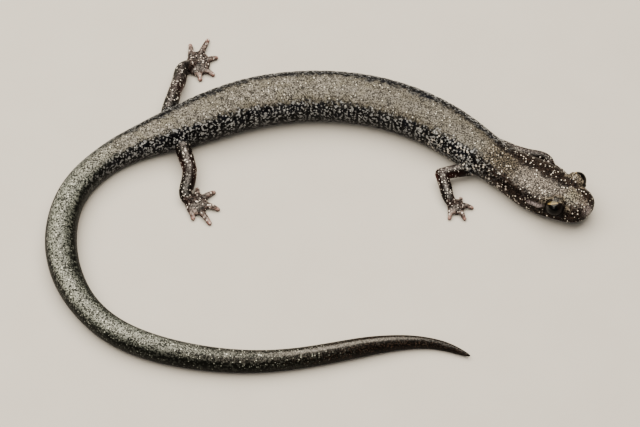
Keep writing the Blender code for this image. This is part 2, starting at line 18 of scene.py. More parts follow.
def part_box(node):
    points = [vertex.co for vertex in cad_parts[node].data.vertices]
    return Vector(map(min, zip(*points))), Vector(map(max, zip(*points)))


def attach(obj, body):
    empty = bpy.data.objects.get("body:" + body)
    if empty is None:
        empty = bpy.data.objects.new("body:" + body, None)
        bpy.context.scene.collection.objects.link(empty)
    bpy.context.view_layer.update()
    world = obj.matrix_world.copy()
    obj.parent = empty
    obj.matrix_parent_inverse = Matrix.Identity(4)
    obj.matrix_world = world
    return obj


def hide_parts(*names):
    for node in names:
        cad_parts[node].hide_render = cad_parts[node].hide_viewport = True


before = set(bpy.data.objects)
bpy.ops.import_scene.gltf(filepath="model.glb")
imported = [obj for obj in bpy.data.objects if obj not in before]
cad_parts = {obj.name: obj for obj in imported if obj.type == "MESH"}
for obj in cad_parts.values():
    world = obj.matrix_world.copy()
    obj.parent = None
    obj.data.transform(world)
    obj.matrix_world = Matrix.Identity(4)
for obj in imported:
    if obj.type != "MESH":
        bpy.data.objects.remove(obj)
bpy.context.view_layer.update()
MM = 0.001
print("frame nodes", len(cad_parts))

# %% [markdown]
# The animal lies in a long open curve. On the real one the backbone sets that curve, and the
# skin follows it, so the whole body can be described by one line on the floor and a row of
# cross-sections along it. The line is a smooth curve through a few places, and the sections
# give half width, underside, widest level and back at chosen distances behind the snout.

# %% The middle line and the sections, in millimetres
BODY_WAY = (
    (26.75, -1.45), (24.4, 0.3), (20.35, 3.2), (17.1, 5.75), (13.3, 9.1),
    (7.6, 12.45), (0.0, 13.9), (-7.7, 12.7), (-14.0, 10.0), (-20.2, 6.95),
    (-24.25, 2.3), (-25.5, -3.4), (-24.35, -9.5), (-20.1, -15.3), (-13.0, -18.4),
    (-5.0, -19.05), (2.0, -17.8), (8.0, -16.6), (11.5, -16.8), (14.3, -18.0))
SECTIONS = (
    (0.0, 1.75, 1.05, 1.72, 2.88), (1.0, 1.98, 0.86, 1.62, 3.05), (2.0, 2.22, 0.68, 1.52, 3.28),
    (3.2, 2.48, 0.50, 1.48, 3.45), (4.6, 2.78, 0.36, 1.50, 3.50), (6.4, 2.88, 0.26, 1.60, 3.52),
    (8.2, 2.62, 0.18, 1.70, 3.50), (10.2, 2.30, 0.08, 1.80, 3.55), (12.0, 2.28, -0.02, 1.90, 3.75),
    (15.5, 2.48, -0.10, 2.05, 4.15), (19.0, 2.56, -0.15, 2.20, 4.45), (28.0, 2.66, -0.16, 2.30, 4.68),
    (37.0, 2.70, -0.16, 2.28, 4.66), (43.0, 2.56, -0.14, 2.15, 4.40), (47.5, 2.14, -0.12, 1.90, 3.84),
    (52.0, 1.62, -0.10, 1.58, 3.15), (56.5, 1.42, -0.10, 1.44, 2.86), (62.0, 1.50, -0.10, 1.46, 2.90),
    (67.0, 1.58, -0.10, 1.46, 2.90), (71.0, 1.50, -0.10, 1.38, 2.72), (76.0, 1.30, -0.10, 1.28, 2.55),
    (82.0, 1.27, -0.10, 1.22, 2.42), (90.0, 1.12, -0.09, 1.10, 2.20), (97.0, 0.98, -0.08, 0.98, 1.96),
    (103.0, 0.92, -0.07, 0.90, 1.80), (107.5, 0.70, -0.05, 0.70, 1.42), (111.0, 0.46, -0.04, 0.50, 1.02),
    (114.0, 0.34, -0.02, 0.38, 0.76), (118.0, 0.26, 0.00, 0.30, 0.60))
print("places on the middle line", len(BODY_WAY), "sections", len(SECTIONS))

# %% [markdown]
# A backbone bends evenly and a body swells and narrows without steps, so both tables are read
# through smooth curves. The middle line may swing a little between its places, as a drawn curve
# does. The sizes may not, or the skin would bulge where no section says so.

# %% Two kinds of curve, and the body's length
def smooth_curve(knots, values, at):
    """Natural cubic spline through the values at the knots, read at the places `at`."""
    knots, values = np.asarray(knots, float), np.asarray(values, float)
    steps, count = np.diff(knots), len(knots)
    left, right = np.eye(count), np.zeros_like(values)
    for i in range(1, count - 1):
        left[i, i - 1:i + 2] = steps[i - 1], 2 * (steps[i - 1] + steps[i]), steps[i]
        right[i] = 6 * ((values[i + 1] - values[i]) / steps[i] - (values[i] - values[i - 1]) / steps[i - 1])
    bend = np.linalg.solve(left, right)
    k = np.clip(np.searchsorted(knots, at) - 1, 0, count - 2)
    h = steps[k][:, None]
    a = (knots[k + 1] - at)[:, None] / h
    b = 1 - a
    sag = (a ** 3 - a) * bend[k] + (b ** 3 - b) * bend[k + 1]
    return a * values[k] + b * values[k + 1] + sag * h ** 2 / 6


def steady_curve(knots, values, at):
    """Smooth curve through the values that never swings past them."""
    knots, values = np.asarray(knots, float), np.asarray(values, float)
    steps = np.diff(knots)
    slopes = np.diff(values) / steps
    tangents = np.zeros(len(knots))
    tangents[0], tangents[-1] = slopes[0], slopes[-1]
    for i in range(1, len(knots) - 1):
        if slopes[i - 1] * slopes[i] > 0:
            w1, w2 = 2 * steps[i] + steps[i - 1], steps[i] + 2 * steps[i - 1]
            tangents[i] = (w1 + w2) / (w1 / slopes[i - 1] + w2 / slopes[i])
    k = np.clip(np.searchsorted(knots, at) - 1, 0, len(knots) - 2)
    h = steps[k]
    x = (at - knots[k]) / h
    return ((1 + 2 * x) * (1 - x) ** 2 * values[k] + x * (1 - x) ** 2 * h * tangents[k]
            + x * x * (3 - 2 * x) * values[k + 1] + x * x * (x - 1) * h * tangents[k + 1])


points = np.array(BODY_WAY)
chords = np.concatenate(([0.0], np.cumsum(np.linalg.norm(np.diff(points, axis=0), axis=1))))
PLACES = smooth_curve(chords, points, np.linspace(0, chords[-1], 4000))
ALONG = np.concatenate(([0.0], np.cumsum(np.linalg.norm(np.diff(PLACES, axis=0), axis=1))))
BODY_LENGTH = float(ALONG[-1])
print("length along the body", round(BODY_LENGTH, 1), "mm")

# %% [markdown]
# The frame's origin is below the middle of the whole animal, while the middle line above was laid
# out round the photograph's centre. One eye is found in both, so the difference between its two
# places is the shift that brings everything here onto the frame.

# %% Bring the middle line onto the frame
EYE_BACK, EYE_OUT, EYE_HEIGHT = 2.90, 2.07, 2.72


def way_at(s):
    """Place below the body's middle and the unit vector towards the tail."""
    s = np.asarray(s, float)
    x, y = np.interp(s, ALONG, PLACES[:, 0]), np.interp(s, ALONG, PLACES[:, 1])
    ahead, behind = np.clip(s + 0.4, 0, BODY_LENGTH), np.clip(s - 0.4, 0, BODY_LENGTH)
    dx = np.interp(ahead, ALONG, PLACES[:, 0]) - np.interp(behind, ALONG, PLACES[:, 0])
    dy = np.interp(ahead, ALONG, PLACES[:, 1]) - np.interp(behind, ALONG, PLACES[:, 1])
    length = np.hypot(dx, dy)
    return x, y, dx / length, dy / length


def body_place(s, out, height):
    """World place, in millimetres, at a distance behind the snout, to the left and up."""
    x, y, tx, ty = (float(v[0]) for v in way_at([s]))
    return Vector((x + ty * out, y - tx * out, height))


low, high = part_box("eye_right")
found = Vector([(a + b) / 2 / MM for a, b in zip(low, high)])
shift = found - body_place(EYE_BACK, -EYE_OUT, EYE_HEIGHT)
PLACES = PLACES + np.array([shift.x, shift.y])
FLOOR_SHIFT = Vector((shift.x, shift.y, 0))
print("shift onto the frame", [round(c, 3) for c in shift], "mm")

# %% [markdown]
# The skin sinks at the costal grooves, the upright creases that mark the ribs, at the furrow
# along the back, at the mouth line and at the folds of cheek and throat. Each is a shallow bell
# in one direction. Cut by hand they would be edge loops pulled inwards; here the same pull is a
# function of place, so that a groove keeps its depth however the body bends.

# %% Creases of the skin
# depths and places are in millimetres, and a half is a bell's half width, as an angle where the
# crease runs lengthways
GROOVE_COUNT, GROOVE_FIRST, GROOVE_LAST = 20, 18.8, 45.6
GROOVE_DEPTH, GROOVE_HALF = 0.13, 0.15
MIDLINE_DEPTH, MIDLINE_HALF = 0.09, 0.17
MOUTH_END, MOUTH_DEPTH, MOUTH_HALF = 5.0, 0.15, 0.040
LIP_SWELL, LIP_ABOVE, LIP_HALF = 0.05, 0.16, 0.10
FURROW_FROM, FURROW_TURN, FURROW_DROP = 4.4, 1.05, 0.035    # behind the eye, lower further back
FURROW_DEPTH, FURROW_HALF = 0.11, 0.075
GULAR_FOLD, FOLD_DEPTH, FOLD_HALF = 11.0, 0.18, 0.15
FOLD_SWELL, SWELL_AHEAD, SWELL_HALF = 0.10, 0.5, 0.40


def bump(distance, half):
    """Bell of height 1 that falls off to both sides."""
    return np.exp(-(distance / half) ** 2)


def ramp(value, start, end):
    """Smooth step from 0 at start to 1 at end."""
    x = np.clip((value - start) / (end - start), 0, 1)
    return x * x * (3 - 2 * x)


def groove_share(s, side):
    """1 in the bed of a costal groove and 0 away from it, from the edge of the back downwards."""
    pitch = (GROOVE_LAST - GROOVE_FIRST) / (GROOVE_COUNT - 1)
    phase = (s - GROOVE_FIRST + 0.10 * np.sin(1.7 * s)) / pitch
    nearest = np.clip(np.round(phase), 0, GROOVE_COUNT - 1)
    return bump((phase - nearest) * pitch, GROOVE_HALF) * ramp(side, 0.55, 1.35) * ramp(side, 2.8, 2.2)


def furrow_off(s, side):
    """How far round the body a point lies from the furrow that runs from eye to throat."""
    return side - FURROW_TURN - FURROW_DROP * (s - FURROW_FROM)


def crease_depth(s, turn):
    """How far the skin sinks. `turn` is 0 on the midline of the back and pi under the belly."""
    side = np.abs(turn)
    depth = MIDLINE_DEPTH * bump(side, MIDLINE_HALF) * ramp(s, 13, 17) * ramp(s, 56, 50)
    depth = depth + GROOVE_DEPTH * groove_share(s, side)
    mouth = ramp(s, MOUTH_END, MOUTH_END - 0.5)
    depth = depth + MOUTH_DEPTH * mouth * bump(side - pi / 2, MOUTH_HALF)
    lip = bump(side - pi / 2 + LIP_ABOVE, LIP_HALF)
    depth = depth - LIP_SWELL * ramp(s, MOUTH_END, MOUTH_END - 1) * lip
    furrow = ramp(s, 4.3, 5.0) * ramp(s, GULAR_FOLD + 0.4, GULAR_FOLD - 0.4)
    depth = depth + FURROW_DEPTH * furrow * bump(furrow_off(s, side), FURROW_HALF)
    throat = ramp(side, 0.95, 1.5)
    depth = depth - FOLD_SWELL * throat * bump(s - GULAR_FOLD + SWELL_AHEAD, SWELL_HALF)
    depth = depth + FOLD_DEPTH * throat * bump(s - GULAR_FOLD - 0.05 * np.sin(9 * side), FOLD_HALF)
    return depth


print("costal grooves", GROOVE_COUNT, "deepest fold", FOLD_DEPTH, "mm")

# %% [markdown]
# A snout is blunt and a tail tip is fine. Both ends of a rolled grid have to close to a point, so
# the sections shrink there: slowly and then all at once at the snout, as in a squarish oval,
# and as in a half circle at the tip.

# %% Sizes at any distance, closed at both ends
SNOUT_ROUND, SNOUT_BLUNT, TAIL_ROUND = 1.7, 2.5, 3.0


def section_sizes(s):
    """Half width, underside, widest level and back at each distance behind the snout."""
    knots = [row[0] for row in SECTIONS]
    half, low, level, high = (steady_curve(knots, [row[i] for row in SECTIONS], s) for i in (1, 2, 3, 4))
    front = np.clip(1 - s / SNOUT_ROUND, 0, 1)
    rear = np.clip(1 - (BODY_LENGTH - s) / TAIL_ROUND, 0, 1)
    scale = (1 - front ** SNOUT_BLUNT) ** (1 / SNOUT_BLUNT) * (1 - rear ** 2) ** 0.5
    return half * scale, level + (low - level) * scale, level, level + (high - level) * scale


widest = section_sizes(np.linspace(0, BODY_LENGTH, 500))[0].max()
print("widest", round(2 * widest, 2), "mm")

# %% [markdown]
# A salamander's eye is a ball that stands well out of the head, and the lids are a sleeve of skin
# drawn tightly over it. The two eyes don't look the same way here, and the left one is rolled up
# under its lid, so what differs is kept as a pair: -1 is the right side and 1 the left.

# %% Sizes of the lids
EYE_RADIUS = 0.91
LID_DOME, DOME_ROOT, DOME_BACK, DOME_UP = 1.08, 1.05, 0.10, 0.03    # the dome, and where it stands
DOME_SOFT = 0.010                                  # rounds its foot off into the head
LID_OVER, LID_ROLL, LID_UNDER = 0.06, 0.05, 0.14   # lid above the ball, its edge, skin under the ball
LID_CREASE = 0.06                                  # how deep the crease behind the lids is
LOOK_UP = {-1: 0.48, 1: 0.36}                      # the left eye looks a little lower
OPEN_LONG, OPEN_BACK = 1.34, 0.08                  # half the opening lengthways, as angles
OPEN_TALL = {-1: 1.00, 1: 0.92}                    # and upwards
LID_DROP = {-1: -0.05, 1: 0.02}                    # how far the opening hangs below the gaze
LID_RIM = {-1: 1.50, 1: 1.90}                      # where the dark crease round each lid lies
ROLLED_UP = {-1: 0.0, 1: 1.05}                     # the left eyeball is rolled up under its lid


def gaze(side):
    """Unit vector the eye looks along, as back, left and up."""
    look = np.array([-0.22, side * 0.84, LOOK_UP[side]])
    return look / np.linalg.norm(look)


print("each lid opens", round(2 * OPEN_LONG * EYE_RADIUS, 2), "mm along the ball")

# %% [markdown]
# The skin is first pushed out onto a dome over each eye. A half ball joined on would leave a ring
# where it meets the head. Here each point moves away from a root inside the head, onto the dome
# or not at all, whichever is further out, and the change from one to the other is soft.

# %% Raise a dome over each eye
def length_of(vectors):
    """Length of each vector, never quite 0, so that it can be divided by."""
    return np.linalg.norm(vectors, axis=-1) + 1e-9


def raise_dome(spots, eye, look):
    """Push the skin outwards onto a dome that stands a little behind the eyeball."""
    middle = eye - look * DOME_BACK + np.array([0, 0, DOME_UP])
    root = middle - look * DOME_ROOT
    reach = spots - root
    distance = length_of(reach)
    way = reach / distance[..., None]
    towards = way @ (middle - root)
    meet = towards + np.sqrt(np.maximum(towards ** 2 + LID_DOME ** 2 - DOME_ROOT ** 2, 0))
    raised = 0.5 * (distance + meet + np.sqrt((distance - meet) ** 2 + DOME_SOFT))
    lift = np.where(distance < 2.7, raised - distance, 0)
    lift = lift * ramp(way @ look, -0.1, 0.25) * ramp(distance, 3.0, 2.5)
    return spots + way * lift[..., None]


print("the dome stands", round(LID_DOME - DOME_BACK - EYE_RADIUS, 2), "mm before the ball")

# %% [markdown]
# Then, seen from the middle of the eyeball, everything inside a lengthways oval sinks under the
# ball, and its edge is rolled into the two lids, so the ball itself fills the opening with no
# gap. Cutting a hole would leave an open edge; sinking the skin keeps it closed.

# %% Open the lids
def lid_oval(ray, look, side):
    """How far a ray from the eyeball's middle lies off the gaze: 1 on the edge of the lids."""
    lengthways = np.array([1.0, 0, 0]) - look * look[0]
    lengthways /= np.linalg.norm(lengthways)
    upwards = np.cross(lengthways, look) * side
    long, tall = ray @ lengthways, ray @ upwards
    off = np.arccos(np.clip(ray @ look, -1, 1)) / np.maximum(np.hypot(long, tall), 1e-6)
    return np.hypot((off * long - OPEN_BACK) / OPEN_LONG, (off * tall + LID_DROP[side]) / OPEN_TALL[side])


def open_lid(spots, eye, look, side):
    """Sink an oval of the dome under the eyeball and roll its edge into two lids."""
    away = length_of(spots - eye)
    ray = (spots - eye) / away[..., None]
    oval = lid_oval(ray, look, side)
    rolled = EYE_RADIUS + LID_OVER + LID_ROLL * bump(oval - 1.12, 0.09)
    lid = rolled + (away - rolled) * ramp(oval, 1.14, 1.50)
    target = (EYE_RADIUS - LID_UNDER) + (lid - EYE_RADIUS + LID_UNDER) * ramp(oval, 0.95, 1.04)
    facing = (ray @ look > -0.1) & (away < 1.7)
    spots = np.where(facing[..., None], eye + ray * target[..., None], spots)
    crease = LID_CREASE * bump(length_of(spots - eye) - LID_DOME - 0.12, 0.10) * ramp(oval, 1.25, 1.6)
    return spots - ray * (crease * (away < 2.0))[..., None]


print("skin", LID_UNDER, "mm under the ball, lid", LID_OVER, "mm above it")

# %% [markdown]
# Lungless salamanders have a fine groove from each nostril down to the lip, which carries scent
# along the skin. Both are small pits, and each is pressed in after the lids are there, so
# that the dome over the eye can't stretch it.

# %% Nostrils and the groove below each
NOSTRIL, NOSTRIL_DEPTH, NOSTRIL_HALF = (0.36, 1.16, 2.36), 0.15, 0.13      # back, out and up
NOSE_GROOVE_END, NOSE_GROOVE_DEPTH, NOSE_GROOVE_HALF = (0.20, 1.12, 1.66), 0.05, 0.08
PRESSED = (0.75, -0.6, -0.1)                       # the way the skin is pressed: back, inwards, down


def press_nostril(spots, side):
    """Sink a nostril and the groove from it to the lip."""
    mirrored = np.array([1, side, 1])
    nostril, groove_end = NOSTRIL * mirrored, NOSE_GROOVE_END * mirrored
    span = groove_end - nostril
    share = np.clip(((spots - nostril) @ span) / (span @ span), 0, 1)
    off = np.linalg.norm(spots - nostril - share[..., None] * span, axis=-1)
    pit = NOSTRIL_DEPTH * bump(np.linalg.norm(spots - nostril, axis=-1), NOSTRIL_HALF)
    pit = pit + NOSE_GROOVE_DEPTH * bump(off, NOSE_GROOVE_HALF)
    return spots + pit[..., None] * (PRESSED * mirrored)


def shape_face(spots):
    """Lids, nostrils and nose grooves. Spots hold back, left and up, in millimetres."""
    for side in (-1, 1):
        eye, look = np.array([EYE_BACK, side * EYE_OUT, EYE_HEIGHT]), gaze(side)
        spots = open_lid(raise_dome(spots, eye, look), eye, look, side)
        spots = press_nostril(spots, side)
    return spots


print("nostrils", round(2 * NOSTRIL[1], 2), "mm apart")

# %% [markdown]
# The body is a flat grid rolled into a tube: the grid's long way runs down the middle line and its
# short way goes once round the section. The rows lie closest on the head, where lids and lips
# need them, closer on the ribbed trunk than on the plain tail. The belly is pressed flat where
# it lies on the floor, as the weight of the real animal flattens it.

# %% Rows and places of the skin
BACK_SQUARE, HEAD_SQUARE = 2.15, 2.5               # 2 makes an ellipse of a section, more is squarer
ROW_STEPS = ((0.3, 0.03), (6.5, 0.075), (12, 0.115), (50, 0.155), (BODY_LENGTH - 3, 0.30))


def row_places():
    """Distances behind the snout that have a row: in each stretch, up to its end, its own step."""
    places, s = [0.0], 0.0
    while s < BODY_LENGTH - 0.02:
        closing = max(0.03, min(0.30, (BODY_LENGTH - s) * 0.3))
        s += next((step for end, step in ROW_STEPS if s < end), closing)
        places.append(min(s, BODY_LENGTH))
    places[-1] = BODY_LENGTH
    return np.array(places)


def skin_places(s, turn):
    """World places, in millimetres, of the skin at each distance and turn."""
    half, low, level, high = section_sizes(s)
    headness = np.clip((12 - s) / 6, 0, 1)
    power = 2 / (BACK_SQUARE + (HEAD_SQUARE - BACK_SQUARE) * headness)
    lateral = np.sign(np.sin(turn)) * np.abs(np.sin(turn)) ** power
    upward = np.sign(np.cos(turn)) * np.abs(np.cos(turn)) ** power
    depth = np.clip(crease_depth(s, turn), -0.1 * half, 0.4 * half)
    across = lateral * (half - depth)
    height = level + np.where(upward > 0, high - level - depth, level - low - depth) * upward
    spots = shape_face(np.stack((s, -across, height), axis=-1))
    x, y, tx, ty = way_at(s)
    back, out = spots[..., 0] - s, spots[..., 1]
    px = x + tx * back + ty * out
    py = y + ty * back - tx * out
    return np.stack((px, py, np.maximum(spots[..., 2], 0)), axis=-1)


ROWS, COLUMNS = row_places(), 84
print("rows along the body", len(ROWS))

# %% [markdown]
# By hand this would be a plane, subdivided, bent into a tube and pulled to shape. Here each
# point of the grid is given its place on the body in one go, and then the two long edges and
# the two ends are welded shut. The columns lie closer on the flanks, where grooves and lips are.

# %% Roll the skin of the body
CROWDED = 0.26                                     # how much closer the columns lie on the flanks


def begin(name):
    """Rename what was just added and return it."""
    piece = bpy.context.object
    piece.name = name
    piece.data.name = name
    return piece


def points_of(piece):
    """The places of the piece's points, one row of x, y and z for each."""
    flat = np.empty(len(piece.data.vertices) * 3)
    piece.data.vertices.foreach_get("co", flat)
    return flat.reshape(-1, 3)


def new_grid(rows, columns, name):
    """A flat grid that runs from -1 to 1 both ways, and its points."""
    bpy.ops.object.select_all(action="DESELECT")
    bpy.ops.mesh.primitive_grid_add(x_subdivisions=rows, y_subdivisions=columns, size=2)
    piece = begin(name)
    return piece, points_of(piece)


def close_tube(piece):
    """Weld a rolled grid along its seam and at its two ends, and face it outwards."""
    work = bmesh.new()
    work.from_mesh(piece.data)
    bmesh.ops.remove_doubles(work, verts=work.verts, dist=0.00000005)
    bmesh.ops.recalc_face_normals(work, faces=work.faces)
    open_edges = sum(1 for edge in work.edges if not edge.is_manifold)
    work.to_mesh(piece.data)
    work.free()
    return open_edges


skin, flat = new_grid(len(ROWS) - 1, COLUMNS, "skin")
row = np.rint((flat[:, 0] + 1) / 2 * (len(ROWS) - 1)).astype(int)
share = (flat[:, 1] + 1) / 2
even = (share * 2 - 1) * pi
turn = even + CROWDED * np.sin(2 * even)
rolled = skin_places(ROWS[row], turn) * MM
skin.data.vertices.foreach_set("co", rolled.ravel())
print("open edges", close_tube(skin))
print("body skin", len(ROWS), "rows,", len(skin.data.polygons), "faces")

# %% [markdown]
# Each leg is a short tapering limb bent at elbow or knee, ending in a flat palm with toes: four on
# a hand, five on a foot. A limb is a cylinder set along its bend, the palm is a flattened ball,
# and each toe a thin cylinder with a swollen tip and a slight arch. They are joined and remeshed
# in small cubes, which melts the joints into each other the way skin covers them, then smoothed.

# %% Sizes of the legs
LEGS = {
    "right_arm": ((15.9, 4.9, 1.25), (12.2, 4.1, 1.30), (13.0, 1.15, 0.72)),
    "left_arm": ((15.8, 9.1, 1.20), (19.9, 7.2, 1.22), (23.05, 6.5, 0.80)),
    "right_leg": ((-14.35, 8.8, 1.65), (-13.1, 4.4, 1.65), (-13.4, 1.6, 0.78)),
    "left_leg": ((-15.8, 10.6, 1.70), (-14.95, 15.4, 1.70), (-14.3, 19.2, 0.80))}
LIMB_HALF = {
    "right_arm": (0.68, 0.59, 0.64, 0.56), "left_arm": (0.66, 0.60, 0.63, 0.50),
    "right_leg": (0.84, 0.73, 0.73, 0.66), "left_leg": (0.82, 0.68, 0.70, 0.70)}
FEET = {
    "right_arm": ((13.6, 0.6), (0.86, 0.95), (
        ((13.98, 1.1), (14.22, 2.0)), ((14.22, 0.78), (15.46, 0.51)),
        ((13.95, 0.12), (14.53, -1.12)), ((13.1, 0.4), (12.85, -1.06)))),
    "left_arm": ((23.6, 5.35), (0.84, 0.84), (
        ((23.3, 4.85), (23.15, 4.15)), ((23.8, 4.8), (24.4, 3.8)),
        ((24.1, 5.05), (25.15, 4.15)), ((24.15, 5.5), (24.95, 5.05)))),
    "right_leg": ((-12.35, 0.95), (1.16, 1.40), (
        ((-12.35, 1.9), (-12.35, 3.25)), ((-11.74, 1.7), (-10.47, 2.75)),
        ((-11.41, 0.8), (-9.95, 0.25)), ((-11.99, 0.06), (-10.84, -1.7)),
        ((-12.95, 0.35), (-12.6, -1.12)))),
    "left_leg": ((-12.85, 20.35), (1.28, 1.75), (
        ((-12.75, 19.2), (-12.5, 17.85)), ((-12.25, 19.45), (-11.0, 18.65)),
        ((-12.05, 20.7), (-10.7, 21.4)), ((-12.65, 21.5), (-11.85, 24.1)),
        ((-13.55, 21.2), (-13.8, 23.35))))}
TOE_HALF = {"arm": (0.30, 0.20), "leg": (0.36, 0.23)}
print("legs", len(LEGS), "toes", sum(len(toes) for _, _, toes in FEET.values()))

# %% [markdown]
# A limb piece is the same rolled grid as the body, only smaller: rows along a bent way, a ring at
# each row, and rows beyond both ends that shrink to a point, so that the end is a half ball. One
# function makes upper arm, shin and toe alike.

# %% Build one limb piece
LIMB_ROW, LIMB_COLUMNS = 0.14, 20


def limb_piece(way, halves, name, deep):
    """Cylinder bent along the way, in millimetres, round at both ends, with a half width at each
    place of the way. It is `deep` times as high as it is wide."""
    way = np.array([list(p) for p in way], float)
    steps = np.concatenate(([0.0], np.cumsum(np.linalg.norm(np.diff(way, axis=0), axis=1))))
    piece, flat = new_grid(max(8, round(steps[-1] / LIMB_ROW)), LIMB_COLUMNS, name)
    first, last = halves[0], halves[-1]
    at = (flat[:, 0] + 1) / 2 * (steps[-1] + first + last) - first
    at = np.clip(at, -first, steps[-1] + last)
    inside = np.clip(at, 0, steps[-1])
    centre = smooth_curve(steps, way, inside)
    ahead = smooth_curve(steps, way, np.clip(inside + 0.1, 0, steps[-1]))
    behind = smooth_curve(steps, way, np.clip(inside - 0.1, 0, steps[-1]))
    along = ahead - behind
    along /= np.linalg.norm(along, axis=1)[:, None]
    half = steady_curve(steps, halves, inside)
    over = np.abs(at - inside) / np.where(at < 0, first, last)
    round_off = np.sqrt(np.maximum(1 - over ** 2, 0))
    centre = centre + along * (at - inside)[:, None]
    side = np.cross(along, [0, 0, 1.0])
    side /= np.linalg.norm(side, axis=1)[:, None]
    up = np.cross(side, along)
    angle = flat[:, 1] * pi
    ring = side * np.cos(angle)[:, None] + up * (deep * np.sin(angle))[:, None]
    ring = ring * (half * round_off)[:, None]
    piece.data.vertices.foreach_set("co", ((centre + ring + np.array(FLOOR_SHIFT)) * MM).ravel())
    close_tube(piece)
    return piece


print("a limb piece has a row every", LIMB_ROW, "mm and", LIMB_COLUMNS, "columns")

# %% [markdown]
# A whole leg is then laid out of such pieces, each reaching well into its neighbour. Modelled by
# hand, the joints would be bridged loop by loop. Melting them in cubes much smaller than a toe is
# wide gives the same closed skin, and three rounds of smoothing take the cubes' steps away.

# %% Lay out and melt the legs
PALM_HIGH, PALM_FLAT, PALM_LEVEL = 0.80, 0.60, 0.38    # and shares of it: half height, middle
TOE_BASE_UP, TOE_ARCH = 0.32, 0.13                 # where a toe leaves the palm, and how it arches
MELT_CUBE = 0.085                                  # the side of a cube, in millimetres


def grow_leg(name):
    """One leg with its palm and toes, melted into a single closed skin."""
    root, joint, end = (Vector(p) for p in LEGS[name])
    halves = LIMB_HALF[name]
    (px, py), (palm_wide, palm_long), toes = FEET[name]
    palm = Vector((px, py, PALM_HIGH * PALM_LEVEL))
    upper_mid = root.lerp(joint, 0.5) + Vector((0, 0, 0.10))
    lower_mid = joint.lerp(end, 0.5)
    upper_halves = (halves[0], (halves[0] + halves[1]) / 2 + 0.03, halves[1])
    lower_halves = (halves[2], (halves[2] + halves[3]) / 2 + 0.05, halves[3], halves[3] * 0.72)
    pieces = [limb_piece((root, upper_mid, joint), upper_halves, "upper", 1.06),
              limb_piece((joint, lower_mid, end, palm), lower_halves, "lower", 1.04)]
    bpy.ops.object.select_all(action="DESELECT")
    bpy.ops.mesh.primitive_uv_sphere_add(segments=32, ring_count=20, radius=MM,
                                         location=(palm + FLOOR_SHIFT) * MM,
                                         scale=(palm_wide, palm_long, PALM_HIGH * PALM_FLAT))
    bpy.ops.object.transform_apply(location=True, rotation=True, scale=True)
    pieces.append(begin("palm"))
    base_half, tip_half = TOE_HALF[name.split("_")[1]]
    for (bx, by), (tx, ty) in toes:
        base, tip = Vector((bx, by, TOE_BASE_UP)), Vector((tx, ty, tip_half * 0.80))
        inward = palm.lerp(base, 0.45)
        tip = tip - (tip - base).normalized() * tip_half
        knuckle = base.lerp(tip, 0.40) + Vector((0, 0, TOE_ARCH))
        pieces.append(limb_piece((inward, base, knuckle, tip),
                                 (base_half, base_half, base_half * 0.86, tip_half), "toe", 0.92))
    bpy.ops.object.select_all(action="DESELECT")
    for piece in pieces:
        piece.select_set(True)
    bpy.context.view_layer.objects.active = pieces[0]
    bpy.ops.object.join()
    leg = begin(name)
    melt = leg.modifiers.new("melt", "REMESH")
    melt.mode, melt.voxel_size = "VOXEL", MELT_CUBE * MM
    bpy.ops.object.modifier_apply(modifier="melt")
    soften = leg.modifiers.new("soften", "SMOOTH")
    soften.factor, soften.iterations = 0.5, 3
    bpy.ops.object.modifier_apply(modifier="soften")
    return leg


legs = [grow_leg(name) for name in LEGS]
print("legs", [len(leg.data.polygons) for leg in legs], "faces")

# %% [markdown]
# The legs are joined to the flanks by a Boolean union, which leaves a hard crease round each root.
# On the animal the skin runs over the shoulder and the hip without a break, so the points near
# the crease are relaxed several times, and the belly and soles are set back on the floor.

# %% Grow the legs into the body
RELAXED = ((0.75, 6), (0.45, 10))                  # within how many millimetres, and how many times
# two passing materials tell body from leg across the union, and come off again below
skin.data.materials.append(bpy.data.materials.new("body_mark"))
for leg in legs:
    leg.data.materials.clear()
    leg.data.materials.append(bpy.data.materials.new("leg_mark"))
    bpy.ops.object.select_all(action="DESELECT")
    skin.select_set(True)
    bpy.context.view_layer.objects.active = skin
    fuse = skin.modifiers.new("fuse", "BOOLEAN")
    fuse.operation, fuse.object, fuse.solver = "UNION", leg, "MANIFOLD"
    fuse.material_mode = "TRANSFER"
    bpy.ops.object.modifier_apply(modifier="fuse")
for leg in legs:
    bpy.data.objects.remove(leg, do_unlink=True)

work = bmesh.new()
work.from_mesh(skin.data)
bmesh.ops.remove_doubles(work, verts=work.verts, dist=0.000002)
work.verts.ensure_lookup_table()
seam = [v for v in work.verts if len({f.material_index > 0 for f in v.link_faces}) > 1]
tree = kdtree.KDTree(len(seam))
for i, v in enumerate(seam):
    tree.insert(v.co, i)
tree.balance()
for reach, rounds in RELAXED:
    near = [v for v in work.verts if tree.find(v.co)[2] < reach * MM]
    for _ in range(rounds):
        bmesh.ops.smooth_vert(work, verts=near, factor=0.5,
                              use_axis_x=True, use_axis_y=True, use_axis_z=True)
for v in work.verts:
    if v.co.z < 0:
        v.co.z = 0
work.to_mesh(skin.data)
work.free()
skin.data.materials.clear()
bpy.ops.object.shade_smooth()
print("whole skin", len(skin.data.polygons), "faces,", len(seam), "points on the leg seams")

# %% [markdown]
# The colours change with the place on the animal: pale on the back, black with dots on the flank,
# darker towards the tail tip. So each point of the skin is told how far behind the snout it lies
# and how far round from the midline of the back. Much of the pale back is a wet sheen, and in the
# photograph that sheen lies towards the front and left, more on some lengths of the body than on
# others. One more number, the crown, tells how far a point is turned from the line where the
# sheen lies; how far that line leans was read off the photograph at a few places along the body.

